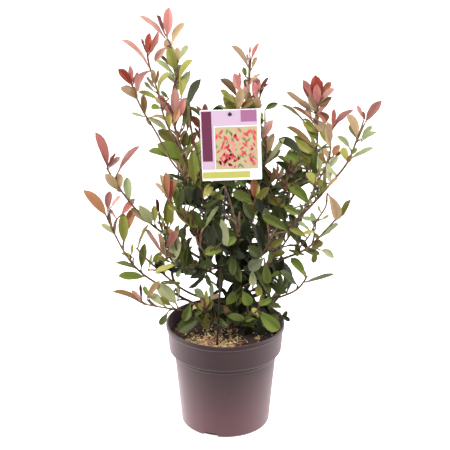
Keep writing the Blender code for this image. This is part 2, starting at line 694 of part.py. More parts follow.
def mass_of_leaves(plan, name, solids, grown):
    """Grow one mass by the rule and join it into one solid."""
    shoot = plan[name]
    chance = random.Random(name)
    space = Space(plan, name, solids, grown)
    span = shoot["length"] - shoot["stem_start"]
    spots = ring_spots(shoot["stem_start"], shoot["length"], STEM_RING)
    stem = limb_tube(shoot["path"], spots, lambda at: stem_radius_at(shoot, at), STEM_SIDES)
    stem = add_object("leaves_" + name, stem, "leaf")
    pieces = []

    def add_leaf(root, way, angle, opening, size):
        place = grow_leaf(space, root, way, angle, opening, size, chance)
        if place:
            pieces.append(add_object("leaf", leaf_mesh(place)))
        return bool(place)

    angle = chance.uniform(0, math.tau)
    along_stem = shoot["leaves"] - ROSETTE_LEAVES
    first = min(FIRST_LEAF[0], span * FIRST_LEAF[1])
    kept = 0
    for number in range(along_stem):
        share = (number + 0.5 + chance.uniform(-0.2, 0.2)) / along_stem
        at = shoot["stem_start"] + first + (span - first - LAST_LEAF) * share
        root, way = point_at(shoot["path"], at)
        opening = OPEN_LOW + (OPEN_HIGH - OPEN_LOW) * share + chance.uniform(-0.15, 0.15)
        size = 0.92 + 0.13 * math.sin(math.pi * share) + chance.uniform(-0.06, 0.06)
        if number % TWIG_EVERY == 2 and share < TWIG_BELOW and span > TWIG_SPAN:
            kept += add_twig(space, pieces, root, way, angle, chance, add_leaf)
        else:
            kept += add_leaf(root, way, angle, opening, size)
        angle += GOLDEN + chance.uniform(-0.15, 0.15)
    for number in range(ROSETTE_LEAVES):
        share = number / (ROSETTE_LEAVES - 1)
        root, way = point_at(shoot["path"], shoot["length"] - TIP_BACK - number * ROSETTE_STEP)
        opening = np.interp(share, (0, 1), ROSETTE_OPEN)
        kept += add_leaf(root, way, angle, opening, np.interp(share, (0, 1), ROSETTE_SIZE))
        angle += GOLDEN
    apply_boolean(stem, pieces, "UNION", "MANIFOLD")
    keep_one_body(stem)
    return kept


def add_twig(space, pieces, root, way, angle, chance, add_leaf):
    """Grow a side twig with a few leaves, if the twig keeps to the space."""
    path = twig_path(root, way, angle, chance)
    length = lengths(path)[-1]
    clear = np.linspace(length * 0.3, length, 3)
    guard = limb_tree(limb_tube(path, clear, lambda at: TWIG_RADIUS + GUARD, STEM_SIDES))
    if not (space.holds(path) and space.takes(guard, guard, path[len(path) // 2], length)):
        return 0
    twig = limb_tube(path, np.linspace(0, length, 3), lambda at: TWIG_RADIUS, STEM_SIDES)
    pieces.append(add_object("twig", twig))
    end, ahead = point_at(path, length)
    turn = chance.uniform(0, math.tau)
    kept = 0
    for number in range(TWIG_LEAVES):
        opening = np.interp(number / (TWIG_LEAVES - 1), (0, 1), TWIG_OPEN)
        back = TIP_BACK + number * TWIG_STEP
        kept += add_leaf(end - ahead * back, ahead, turn, opening, TWIG_SIZE)
        turn += GOLDEN
    return kept


# Trunk and boughs
def trunk_tube(trunk):
    """The trunk, flared and level where it leaves the potting mix."""
    spots = [0, TRUNK_FLARE_HEIGHT * 0.35, TRUNK_FLARE_HEIGHT]
    spots += list(np.linspace(TRUNK_FLARE_HEIGHT + TRUNK_RING, trunk["length"], TRUNK_RINGS))
    bm = limb_tube(trunk["path"], spots, trunk["radius"], TRUNK_SIDES)
    level_foot(bm.verts, TRUNK_SIDES, TRUNK_FOOT[2])
    return bm


def make_bough(plan, name):
    """One tapering limb from its parent to the place where it enters its leaves."""
    limb = plan[name]
    spots = ring_spots(limb["start"], limb["bare_end"], LIMB_RING)
    add_object("bough_" + name, limb_tube(limb["path"], spots, limb["radius"], LIMB_SIDES), "bark")


def build():
    """Clear the file and make every part."""
    for item in list(bpy.data.objects):
        bpy.data.objects.remove(item)
    make_pot()
    make_soil()
    make_label()
    plan = plan_shoots()
    add_object("trunk", trunk_tube(plan["trunk"]), "bark")
    total = 0
    grown = []
    solids = solid_trees(plan)
    for name, shoot in plan.items():
        if name != "trunk" and shoot["bare_end"]:
            make_bough(plan, name)
    for name in SHOOTS:
        kept = mass_of_leaves(plan, name, solids, grown)
        total += kept
        print(name, "leaves kept", kept, "of", plan[name]["leaves"])
    print("leaves", total, "objects", len(bpy.data.objects))


build()
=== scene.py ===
# %% [markdown]
# A young red tip photinia in its nursery pot.
# The real plant is an evergreen shrub of about a metre. Its old leaves are glossy green, and the
# leaves at the ends of its shoots open coral, red and bronze. This lesson dresses the imported solids
# with the same plan of shoots that they were grown by: one short stem, low side stems, and a leafy
# shoot at the end of each. The solids come from model.glb, so every piece lands where they are.

# %% Load the imported solids
import math
import random

import bmesh
import bpy
import numpy as np
from mathutils import Matrix, Vector, noise


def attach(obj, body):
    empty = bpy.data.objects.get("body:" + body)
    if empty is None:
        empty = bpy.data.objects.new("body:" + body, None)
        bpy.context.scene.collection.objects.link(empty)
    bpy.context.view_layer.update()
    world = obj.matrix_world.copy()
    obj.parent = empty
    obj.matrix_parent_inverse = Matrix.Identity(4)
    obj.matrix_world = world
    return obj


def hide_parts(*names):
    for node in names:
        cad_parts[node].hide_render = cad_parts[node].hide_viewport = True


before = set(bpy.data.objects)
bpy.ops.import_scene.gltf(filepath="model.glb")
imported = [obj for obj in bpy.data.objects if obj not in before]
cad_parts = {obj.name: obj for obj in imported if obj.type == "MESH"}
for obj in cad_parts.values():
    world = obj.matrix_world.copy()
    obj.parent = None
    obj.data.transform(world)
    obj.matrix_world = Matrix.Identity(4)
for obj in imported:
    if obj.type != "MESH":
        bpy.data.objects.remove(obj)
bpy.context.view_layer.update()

# %% [markdown]
# The camera stands three metres off, a little above the plant, with a long lens, as for a catalogue
# picture. Its numbers were found once by fitting the rim, the ledge and the foot of the pot.
# The same numbers turn a place in the picture into a place in the world, which later sets a few
# leaves where the eye expects them.

# %% Camera
PICTURE = 450
PICTURE_MIDDLE = (225.3, 225.0)
FOCAL_PIXELS = 1576.0
SENSOR = 36.0
PITCH = math.radians(21.82)
AIM_HEIGHT = 0.413
CAMERA_DISTANCE = 3.0

look = Vector((0, math.cos(PITCH), -math.sin(PITCH)))
lift = Vector((0, math.sin(PITCH), math.cos(PITCH)))
camera_place = Vector((0, 0, AIM_HEIGHT)) - look * CAMERA_DISTANCE
camera_data = bpy.data.cameras.new("camera")
camera_data.sensor_width = SENSOR
camera_data.lens = FOCAL_PIXELS / PICTURE * SENSOR
camera_data.shift_x = (PICTURE / 2 - PICTURE_MIDDLE[0]) / PICTURE
camera = bpy.data.objects.new("camera", camera_data)
camera.location = camera_place
camera.rotation_euler = (math.pi / 2 - PITCH, 0, 0)
bpy.context.scene.collection.objects.link(camera)
bpy.context.scene.camera = camera


def seen_at(pixel, depth):
    """The place at a depth (y) that the camera sees at a pixel of the picture."""
    across, down = pixel[0] - PICTURE_MIDDLE[0], pixel[1] - PICTURE_MIDDLE[1]
    ray = look * FOCAL_PIXELS + Vector((across, 0, 0)) - lift * down
    return camera_place + ray * ((depth - camera_place.y) / ray.y)


def pixels_of(points):
    """Pixels at which the camera sees some points."""
    away = np.asarray(points) - np.array(camera_place)
    deep = away @ np.array(look)
    return np.column_stack((PICTURE_MIDDLE[0] + FOCAL_PIXELS * away[:, 0] / deep,
                            PICTURE_MIDDLE[1] - FOCAL_PIXELS * (away @ np.array(lift)) / deep))

# %% [markdown]
# A white studio is a white backdrop, a pale floor and a few large soft lights.
# The camera sees plain white behind the plant, while the light that falls on it from all around is
# dimmer, so that the inside of the crown can go dark. Two tall panels stand at the sides. They give
# the round pot its bright flanks and its dark middle. A panel above and in front shows the card and
# the leaves, and one above and behind lights the tips of the shoots from the back.

# %% Backdrop and lights
BACKDROP = 1.0
FRONT_SKY = 0.62
BACK_SKY = 1.35
scene = bpy.context.scene
scene.view_settings.view_transform = "Standard"
world = bpy.data.worlds.new("studio")
world.use_nodes = True
studio = world.node_tree
around = studio.nodes["Background"]
around.inputs["Color"].default_value = (1, 1, 1, 1)
heading = studio.nodes.new("ShaderNodeTexCoord")
parts = studio.nodes.new("ShaderNodeSeparateXYZ")
backward = studio.nodes.new("ShaderNodeMapRange")
backward.interpolation_type = "SMOOTHSTEP"
backward.inputs["From Min"].default_value = -0.9
backward.inputs["From Max"].default_value = 0.6
backward.inputs["To Min"].default_value = FRONT_SKY
backward.inputs["To Max"].default_value = BACK_SKY
studio.links.new(heading.outputs["Generated"], parts.inputs[0])
studio.links.new(parts.outputs["Y"], backward.inputs["Value"])
studio.links.new(backward.outputs["Result"], around.inputs["Strength"])
backdrop = studio.nodes.new("ShaderNodeBackground")
backdrop.inputs["Color"].default_value = (1, 1, 1, 1)
backdrop.inputs["Strength"].default_value = BACKDROP
which_ray = studio.nodes.new("ShaderNodeLightPath")
chosen = studio.nodes.new("ShaderNodeMixShader")
studio.links.new(which_ray.outputs["Is Camera Ray"], chosen.inputs[0])
studio.links.new(around.outputs[0], chosen.inputs[1])
studio.links.new(backdrop.outputs[0], chosen.inputs[2])
studio.links.new(chosen.outputs[0], studio.nodes["World Output"].inputs["Surface"])
scene.world = world


def soft_light(name, place, aim, size, watts):
    """A rectangular panel at a place, turned to a point."""
    data = bpy.data.lights.new(name, "AREA")
    data.shape = "RECTANGLE"
    data.size, data.size_y = size
    data.energy = watts
    made = bpy.data.objects.new(name, data)
    made.location = place
    made.rotation_euler = (Vector(aim) - Vector(place)).to_track_quat("-Z", "Y").to_euler()
    scene.collection.objects.link(made)
    return made


soft_light("key_light", (-0.7, -2.2, 2.7), (0, 0, 0.5), (1.2, 0.9), 96)
soft_light("back_light", (0.5, 2.0, 2.4), (0, 0, 0.5), (1.6, 0.9), 10)
soft_light("left_light", (-2.3, -0.1, 0.9), (0, 0, 0.35), (1.4, 2.2), 72)
soft_light("right_light", (2.3, -0.1, 0.9), (0, 0, 0.35), (1.4, 2.2), 60)
print("lights", len(bpy.data.lights))

# %% [markdown]
# Every finish is one Principled material. Its patterns are made of nodes, and the maths between
# them reads best as ordinary expressions. So a small class stands for a socket and lets Python's
# operators add the Math nodes, and one method makes every other node.

# %% A class for sockets and a class for finishes
class Wire:
    """A socket of a material, on which Python's operators add Math nodes."""

    def __init__(self, finish, socket):
        self.finish = finish
        self.socket = socket

    def maths(self, operation, *values):
        made = self.finish.node("ShaderNodeMath", {"operation": operation}, dict(enumerate(values)))
        return Wire(self.finish, made.outputs[0])

    def __add__(self, other):
        return self.maths("ADD", self, other)

    def __sub__(self, other):
        return self.maths("SUBTRACT", self, other)

    def __rsub__(self, other):
        return self.maths("SUBTRACT", other, self)

    def __mul__(self, other):
        return self.maths("MULTIPLY", self, other)

    def __pow__(self, other):
        return self.maths("POWER", self, other)

    def __abs__(self):
        return self.maths("ABSOLUTE", self)

    __radd__ = __add__
    __rmul__ = __mul__

    def part(self):
        return self.maths("FRACT", self)

    def sine(self):
        return self.maths("SINE", self)

    def between(self, low, high):
        """Zero below low, one above high, and smooth between."""
        made = self.finish.node("ShaderNodeMapRange", {"interpolation_type": "SMOOTHSTEP"},
                                {"Value": self, "From Min": low, "From Max": high})
        return Wire(self.finish, made.outputs["Result"])


class Finish:
    """One material, with a method that makes any node."""

    def __init__(self, name, colour, roughness, **sockets):
        self.material = bpy.data.materials.new(name)
        self.material.use_nodes = True
        self.tree = self.material.node_tree
        self.surface = self.tree.nodes["Principled BSDF"]
        self.set(self.surface.inputs["Base Color"], (*colour, 1))
        self.set(self.surface.inputs["Roughness"], roughness)
        for key, value in sockets.items():
            self.set(self.surface.inputs[key.replace("_", " ").title().replace("Ior", "IOR")], value)
        self.material.diffuse_color = (*colour, 1)

    def set(self, socket, value):
        """Link a wire to a socket, or give the socket its constant."""
        if isinstance(value, Wire):
            self.tree.links.new(value.socket, socket)
        else:
            socket.default_value = value

    def node(self, kind, settings, values):
        made = self.tree.nodes.new(kind)
        for key, value in settings.items():
            setattr(made, key, value)
        for key, value in values.items():
            self.set(made.inputs[key], value)
        return made

    def place(self, stretch=(1, 1, 1)):
        """Object coordinates, stretched along the axes."""
        source = Wire(self, self.node("ShaderNodeTexCoord", {}, {}).outputs["Object"])
        made = self.node("ShaderNodeMapping", {}, {"Vector": source, "Scale": stretch})
        return Wire(self, made.outputs["Vector"])

    def upward(self):
        """Height above the floor in metres."""
        made = self.node("ShaderNodeSeparateXYZ", {}, {"Vector": self.place()})
        return Wire(self, made.outputs["Z"])

    def along_and_across(self):
        """The two coordinates of the piece's own map."""
        source = Wire(self, self.node("ShaderNodeTexCoord", {}, {}).outputs["UV"])
        made = self.node("ShaderNodeSeparateXYZ", {}, {"Vector": source})
        return Wire(self, made.outputs["X"]), Wire(self, made.outputs["Y"])

    def cloud(self, scale, detail=3.0, stretch=(1, 1, 1)):
        """Soft noise between zero and one."""
        made = self.node("ShaderNodeTexNoise", {},
                         {"Vector": self.place(stretch), "Scale": scale, "Detail": detail})
        return Wire(self, made.outputs["Fac"])

    def blend(self, share, first, second):
        """A colour between two colours."""
        made = self.node("ShaderNodeMix", {"data_type": "RGBA"}, {0: share, 6: (*first, 1), 7: (*second, 1)})
        return Wire(self, made.outputs[2])

    def colour(self, share, first, second):
        self.set(self.surface.inputs["Base Color"], self.blend(share, first, second))
        return self

    def rough(self, value):
        self.set(self.surface.inputs["Roughness"], value)
        return self

    def relief(self, height, depth):
        """A bump of some depth in metres where height goes from zero to one."""
        made = self.node("ShaderNodeBump", {}, {"Height": height, "Distance": depth, "Strength": 1.0})
        self.set(self.surface.inputs["Normal"], Wire(self, made.outputs["Normal"]))
        return self


def shade(red, green, blue):
    """A colour given on a 0 to 255 scale, as the linear values that Blender takes."""
    return tuple((v / 255 / 12.92) if v < 10 else ((v / 255 + 0.055) / 1.055) ** 2.4 for v in (red, green, blue))

# %% [markdown]
# The pot is thin injection-moulded plastic of a dull mauve brown. It is nearly matt, with a faint
# cloudy bloom, and its skin has the very fine grain of the mould. Its lower part is painted paler:
# this is a painted floor bounce, for the light that the white floor throws up on it.

# %% Plastic finishes
POT_DARK = shade(37, 18, 21)
POT_PALE = shade(84, 50, 55)
PAINTED_BOUNCE_TOP = 0.165
pot_finish = Finish("pot_plastic", POT_DARK, 0.42, specular_ior_level=0.25, sheen_weight=0.36, sheen_roughness=0.5,
                     sheen_tint=(1.0, 0.80, 0.84, 1))
# Painted floor bounce: the base colour grows paler towards the foot, for the light from the floor below.
painted_floor_bounce = 1 - pot_finish.upward().between(0.0, PAINTED_BOUNCE_TOP)
bloom = pot_finish.cloud(9.0, 4.0, (1, 1, 0.5)).between(0.3, 0.75)
marks = pot_finish.cloud(60.0, 5.0, (1, 1, 0.3)).between(0.66, 0.78)
pot_finish.colour(painted_floor_bounce * 0.72 + bloom * 0.16 + marks * 0.12, POT_DARK, POT_PALE)
pot_finish.rough(bloom * 0.10 + 0.36)
pot_finish.relief(pot_finish.cloud(900.0, 2.0), 0.00006)

stick_finish = Finish("stick_plastic", shade(34, 20, 16), 0.55)
stick_finish.rough(stick_finish.cloud(220.0) * 0.2 + 0.5)
stick_finish.relief(stick_finish.cloud(700.0, 2.0), 0.00005)

# %% [markdown]
# The potting mix is dark peat with crumbs, bark chips and pale straw on top. Only its large lumps
# are worth modelling in the surface. Crumbs and chips are small meshes scattered over it.

# %% Potting mix finishes
peat_finish = Finish("peat", shade(44, 30, 22), 0.95)
peat_finish.colour(peat_finish.cloud(260.0, 5.0).between(0.35, 0.7), shade(28, 19, 14), shade(72, 50, 36))
peat_finish.relief(peat_finish.cloud(420.0, 6.0), 0.0012)


def litter_finish(name, dark, light):
    """A dull finish for crumbs and chips, mottled between two colours."""
    made = Finish(name, dark, 0.85)
    made.colour(made.cloud(130.0, 2.0).between(0.35, 0.65), dark, light)
    made.relief(made.cloud(900.0, 3.0, (1, 0.4, 1)), 0.0003)
    return made


crumb_finish = litter_finish("peat_crumbs", shade(32, 21, 16), shade(76, 52, 38))
chip_finish = litter_finish("bark_chips", shade(116, 78, 52), shade(178, 138, 98))
straw_finish = litter_finish("straw", shade(150, 134, 72), shade(216, 202, 138))
speck_finish = litter_finish("white_grit", shade(214, 210, 200), shade(240, 238, 232))

# %% [markdown]
# Old stems are grey brown with fine lengthwise cracks. Young stems are smooth and red brown where
# the sun reaches them. The cracks follow the stems in the mesh, and the material adds the grain.

# %% Stem finishes
bark_finish = Finish("old_bark", shade(96, 66, 50), 0.8)
bark_grain = bark_finish.cloud(300.0, 5.0, (1, 1, 0.18))
bark_finish.colour(bark_grain.between(0.35, 0.68), shade(56, 38, 30), shade(118, 88, 70))
bark_finish.relief(bark_grain, 0.0006)

stem_finish = Finish("young_stem", shade(92, 62, 44), 0.5)
stem_grain = stem_finish.cloud(240.0, 3.0, (1, 1, 0.3))
stem_finish.colour(stem_grain.between(0.35, 0.7), shade(68, 42, 32), shade(122, 90, 60))
stem_finish.relief(stem_grain, 0.0003)

# %% [markdown]
# A photinia leaf is leathery. Its upper side is smooth and glossy, with a sunken midrib and side
# veins that curve to the edge. Its underside is paler and matt. A leaf keeps one plain base colour,
# and the colours are dealt out leaf by leaf, so the crown's mixture comes from the meshes. The
# veins are a relief drawn on the leaf's own map, which runs along and across it.

# %% Leaf finishes
# Most of these are the leaves' own tints, but deep and dark are partly painted shade, for the shade inside the crown,
# and sage is partly a painted highlight on lit leaves.
LEAF_COLOURS = {
    "coral": (196, 128, 120), "salmon": (184, 136, 124), "rose": (168, 102, 94), "red": (150, 62, 46),
    "maroon": (94, 50, 42), "rust": (138, 84, 58), "orange": (172, 122, 86), "bronze": (130, 102, 64),
    "tan": (178, 150, 114), "sage": (168, 170, 126), "mist": (142, 150, 108), "lime": (170, 166, 90),
    "fawn": (150, 126, 100), "dusk": (138, 88, 80), "umber": (92, 68, 40), "ash": (98, 102, 78),
    "olive": (134, 132, 62), "moss": (98, 94, 40), "bright": (108, 122, 50), "leaf": (80, 89, 34),
    "green": (60, 68, 27), "deep": (42, 48, 20), "dark": (29, 34, 15),
}
UNDERSIDES = {
    "pink_under": (190, 146, 136), "red_under": (140, 84, 70), "tan_under": (160, 138, 100),
    "pale_under": (148, 150, 100), "grey_under": (98, 106, 70),
}
UNDER_OF = {
    "coral": "pink_under", "salmon": "pink_under", "rose": "pink_under", "red": "red_under",
    "maroon": "red_under", "rust": "red_under", "orange": "tan_under", "bronze": "tan_under",
    "tan": "pink_under", "sage": "pale_under", "mist": "pale_under", "lime": "pale_under",
    "olive": "pale_under", "moss": "tan_under", "bright": "pale_under", "leaf": "grey_under",
    "green": "grey_under", "deep": "grey_under", "dark": "grey_under", "fawn": "tan_under",
    "dusk": "red_under", "umber": "red_under", "ash": "grey_under",
}
STALKS = {"red_stalk": (124, 62, 50), "brown_stalk": (112, 84, 52), "green_stalk": (104, 100, 52)}
STALK_OF = {
    "pink_under": "red_stalk", "red_under": "red_stalk", "tan_under": "brown_stalk",
    "pale_under": "brown_stalk", "grey_under": "green_stalk",
}
VEINS = 8.0
VEIN_SLOPE = 1.7
LEAF_EXPOSURE = 0.92


def leaf_finish(name, colour, roughness, vein_depth):
    """A plain colour with veins in relief and a slightly uneven gloss."""
    made = Finish(name, tuple(v * LEAF_EXPOSURE for v in shade(*colour)), roughness, specular_ior_level=0.22)
    along, across = made.along_and_across()
    fan = (along * VEINS - abs(across) * VEIN_SLOPE).part() - 0.5
    veins = 1 - abs(fan).between(0.0, 0.16)
    rib = 1 - abs(across).between(0.0, 0.10)
    grain = made.cloud(500.0, 2.0)
    made.relief((veins * 0.5 + rib) * vein_depth + grain * 0.4, 0.0004)
    made.rough(grain * 0.14 + (roughness - 0.07))
    return made


finishes = {name: leaf_finish("leaf_" + name, colour, 0.46, -1.0) for name, colour in LEAF_COLOURS.items()}
finishes.update({name: leaf_finish("leaf_" + name, colour, 0.62, 1.0) for name, colour in UNDERSIDES.items()})
finishes.update({name: leaf_finish("leaf_" + name, colour, 0.5, 0.5) for name, colour in STALKS.items()})
print("leaf finishes", len(finishes))

# %% [markdown]
# The card is printed on stiff white stock with a slight satin coat. Its inks are flat colours.

# %% Card finishes
card_finish = Finish("card_stock", shade(246, 244, 246), 0.4)
card_finish.rough(card_finish.cloud(300.0) * 0.1 + 0.34)
card_finish.relief(card_finish.cloud(900.0, 2.0), 0.00003)
INKS = {
    "lilac": (198, 172, 194), "violet": (158, 100, 138), "plum": (100, 38, 68), "lime_ink": (182, 180, 92),
    "scarlet": (206, 72, 82), "blush": (224, 138, 132), "moss": (184, 172, 132), "sage": (128, 128, 76),
}
inks = {}
for ink_name, ink_colour in INKS.items():
    inks[ink_name] = Finish("ink_" + ink_name, shade(*ink_colour), 0.38)
    inks[ink_name].rough(inks[ink_name].cloud(300.0) * 0.1 + 0.32)
print("inks", len(inks))

# %% [markdown]
# A few helpers turn a bmesh, or arrays of many small copies, into a piece: an object at the origin
# with its place in its mesh, its finishes and the solids it stands for.

# %% From meshes to pieces
def dress(made, replaced, finish_list):
    """Give an object its finishes, its body and the solids that it replaces."""
    for finish in finish_list:
        made.data.materials.append(finish.material)
    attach(made, "root")
    if replaced:
        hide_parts(*replaced)
    return made


def piece(name, bm, finish, replaced=(), crease=40.0):
    """Turn a bmesh into a finished piece."""
    mesh = bpy.data.meshes.new(name)
    bm.to_mesh(mesh)
    bm.free()
    mesh.shade_smooth()
    mesh.set_sharp_from_angle(angle=math.radians(crease))
    made = bpy.data.objects.new(name, mesh)
    scene.collection.objects.link(made)
    return dress(made, replaced, [finish])


def spin_profile(outline, steps):
    """A closed turned body from a half outline of (radius, height) that starts and ends on the axis."""
    bm = bmesh.new()
    corners = [bm.verts.new((radius, 0, height)) for radius, height in outline]
    edges = [bm.edges.new(pair) for pair in zip(corners, corners[1:])]
    bmesh.ops.spin(bm, geom=corners + edges, cent=(0, 0, 0), axis=(0, 0, 1), angle=math.tau,
                   steps=steps, use_merge=True)
    bmesh.ops.remove_doubles(bm, verts=bm.verts, dist=0.00002)
    bmesh.ops.recalc_face_normals(bm, faces=bm.faces)
    return bm


def rounded(outline, radius, steps=3):
    """Round the inner corners of an outline with short arcs."""
    points = [Vector(point) for point in outline]
    smooth = [points[0]]
    for before, corner, after in zip(points, points[1:], points[2:]):
        reach = min(radius, (before - corner).length / 2.1, (after - corner).length / 2.1)
        start = corner + (before - corner).normalized() * reach
        end = corner + (after - corner).normalized() * reach
        for index in range(steps + 1):
            share = index / steps
            smooth.append(start * (1 - share) ** 2 + corner * 2 * share * (1 - share) + end * share ** 2)
    return smooth + [points[-1]]

# %% [markdown]
# The pot is turned, as its mould was. The body tapers up to a sharp ledge, a deeper collar stands
# out over it, and a thin rolled lip ends it. Three drain notches are cut through the foot. One
# outline is spun round the axis, and the notches are one Boolean on a collection.

# %% Pot
POT_STEPS = 160
WALL = 0.0022
FOOT_RADIUS = 0.0866
FOOT_ROUND = 0.0046
LEDGE_HEIGHT = 0.1560
BODY_TOP_RADIUS = 0.1003
COLLAR_FOOT_RADIUS = 0.1094
COLLAR_TOP_RADIUS = 0.1130
LIP_FOOT = 0.2000
LIP_RADIUS = 0.1155
POT_HEIGHT = 0.2103
BEAD_HEIGHT = 0.0030
BEAD_DEPTH = 0.0007
NOTCH_FIRST_BEARING = -110.0
NOTCH_COUNT = 3
NOTCH_REACH = (0.058, 0.100)
NOTCH_FOOT_WIDTH = 0.040
NOTCH_TOP_WIDTH = 0.026
NOTCH_HEIGHT = 0.0088


def body_radius(height):
    return FOOT_RADIUS + (BODY_TOP_RADIUS - FOOT_RADIUS) * (height - FOOT_ROUND) / (LEDGE_HEIGHT - FOOT_ROUND)


def collar_radius(height):
    share = (height - LEDGE_HEIGHT) / (LIP_FOOT - LEDGE_HEIGHT)
    return COLLAR_FOOT_RADIUS + (COLLAR_TOP_RADIUS - COLLAR_FOOT_RADIUS) * share


def drain_notch(number):
    """A wedge across the foot of the wall, wider below than above."""
    bm = bmesh.new()
    bmesh.ops.create_cube(bm, size=1)
    for corner in bm.verts:
        top = corner.co.z > 0
        width = NOTCH_TOP_WIDTH if top else NOTCH_FOOT_WIDTH
        corner.co.y = math.copysign(width / 2, corner.co.y)
        corner.co.x = NOTCH_REACH[corner.co.x > 0]
        corner.co.z = NOTCH_HEIGHT if top else -0.01
    bearing = math.radians(NOTCH_FIRST_BEARING + number * 360 / NOTCH_COUNT)
    bmesh.ops.rotate(bm, verts=bm.verts, cent=(0, 0, 0), matrix=Matrix.Rotation(bearing, 3, "Z"))
    mesh = bpy.data.meshes.new("notch")
    bm.to_mesh(mesh)
    bm.free()
    return bpy.data.objects.new("notch", mesh)


def cut(target, cutters):
    """Cut a collection of objects out of a piece, and remove them."""
    group = bpy.data.collections.new("cutters")
    for cutter in cutters:
        group.objects.link(cutter)
    step = target.modifiers.new("notches", "BOOLEAN")
    step.operation = "DIFFERENCE"
    step.operand_type = "COLLECTION"
    step.collection = group
    step.solver = "EXACT"
    mesh = bpy.data.meshes.new_from_object(target.evaluated_get(bpy.context.evaluated_depsgraph_get()))
    target.modifiers.remove(step)
    target.data = mesh
    for cutter in cutters:
        bpy.data.objects.remove(cutter)
    bpy.data.collections.remove(group)


inner_ledge = LEDGE_HEIGHT + WALL
pot_outline = [
    (0, 0.0006), (FOOT_RADIUS - 0.014, 0.0006), (FOOT_RADIUS - 0.012, 0), (FOOT_RADIUS - FOOT_ROUND, 0),
    (FOOT_RADIUS - FOOT_ROUND * 0.3, FOOT_ROUND * 0.3), (FOOT_RADIUS, FOOT_ROUND),
    (body_radius(LEDGE_HEIGHT - 0.012), LEDGE_HEIGHT - 0.012),
    (body_radius(LEDGE_HEIGHT - 0.010) + BEAD_DEPTH, LEDGE_HEIGHT - 0.010),
    (BODY_TOP_RADIUS + BEAD_DEPTH, LEDGE_HEIGHT), (COLLAR_FOOT_RADIUS, LEDGE_HEIGHT),
    (COLLAR_FOOT_RADIUS + BEAD_DEPTH, LEDGE_HEIGHT + BEAD_HEIGHT), (COLLAR_TOP_RADIUS, LIP_FOOT),
    (LIP_RADIUS, LIP_FOOT + 0.0015), (LIP_RADIUS, POT_HEIGHT - 0.0012), (LIP_RADIUS - 0.0012, POT_HEIGHT),
    (COLLAR_TOP_RADIUS - WALL + 0.0012, POT_HEIGHT), (collar_radius(LIP_FOOT) - WALL, LIP_FOOT + 0.003),
    (collar_radius(inner_ledge) - WALL, inner_ledge), (BODY_TOP_RADIUS - WALL, inner_ledge),
    (body_radius(WALL * 2) - WALL, WALL * 2), (FOOT_RADIUS - FOOT_ROUND, WALL), (0, WALL),
]
pot = piece("pot_shell", spin_profile(rounded(pot_outline, 0.0011), POT_STEPS), pot_finish, ["pot"])
cut(pot, [drain_notch(number) for number in range(NOTCH_COUNT)])
pot.data.set_sharp_from_angle(angle=math.radians(40))
print("pot faces", len(pot.data.polygons))

# %% [markdown]
# The mix has sunk a little below the rim and lies in low hummocks. It is turned too, with many
# rings on top, and its top is then lifted and lowered by noise.

# %% Potting mix
SOIL_TOP = 0.188
SOIL_EDGE_DIP = 0.003
SOIL_GAP = 0.0004
SOIL_RINGS = 48
SOIL_STEPS = 140
HUMMOCK = 0.0034


def soil_height(x, y):
    """Height of the mix above a place in the pot."""
    broad = noise.noise(Vector((x * 28, y * 28, 1.3)))
    fine = noise.noise(Vector((x * 120, y * 120, 4.1)))
    edge = max(0.0, math.hypot(x, y) / 0.105 - 0.82) / 0.18
    return SOIL_TOP + HUMMOCK * (0.55 * broad + 0.35 * fine) - SOIL_EDGE_DIP * edge * edge


soil_radius = collar_radius(SOIL_TOP) - WALL - SOIL_GAP
soil_outline = [
    (0, WALL + SOIL_GAP), (FOOT_RADIUS - FOOT_ROUND, WALL + SOIL_GAP),
    (body_radius(WALL * 2) - WALL - SOIL_GAP, WALL * 2), (BODY_TOP_RADIUS - WALL - SOIL_GAP, inner_ledge),
    (collar_radius(inner_ledge) - WALL - SOIL_GAP, inner_ledge + SOIL_GAP),
]
soil_outline += [(soil_radius * (1 - ring / SOIL_RINGS), SOIL_TOP) for ring in range(SOIL_RINGS + 1)]
soil_bm = spin_profile(soil_outline, SOIL_STEPS)
for corner in soil_bm.verts:
    if corner.co.z > SOIL_TOP - 0.001:
        corner.co.z = soil_height(corner.co.x, corner.co.y)
piece("potting_mix", soil_bm, peat_finish, ["soil"], 80.0)

# %% [markdown]
# Crumbs, chips, straw and grit are four small meshes, each copied many times with its own turn,
# size and place. A few dozen faces are enough for each, since one is at most a few pixels wide.

# %% Litter on the mix
def lump(kind):
    """One crumb or chip of unit size, roughened by hand-sized steps."""
    bm = bmesh.new()
    if kind == "crumb":
        bmesh.ops.create_icosphere(bm, subdivisions=1, radius=0.5)
    else:
        bmesh.ops.create_cube(bm, size=1)
        bmesh.ops.bevel(bm, geom=bm.edges[:], offset=0.12, segments=1, profile=0.5, affect="EDGES", material=-1)
    for corner in bm.verts:
        corner.co *= 1 + 0.30 * noise.noise(corner.co * 3.1)
    bmesh.ops.recalc_face_normals(bm, faces=bm.faces)
    return bm


def copies(name, template, places, finish):
    """Join many placed copies of one small mesh into a piece."""
    corners = np.array([corner.co for corner in template.verts])
    faces = [[corner.index for corner in face.verts] for face in template.faces]
    points = [corners @ np.array(place.to_3x3()).T + np.array(place.translation) for place in places]
    joined = [[index + number * len(corners) for index in face] for number in range(len(places)) for face in faces]
    mesh = bpy.data.meshes.new(name)
    mesh.from_pydata(np.concatenate(points).tolist(), [], joined)
    template.free()
    made = bpy.data.objects.new(name, mesh)
    scene.collection.objects.link(made)
    return dress(made, [], [finish])


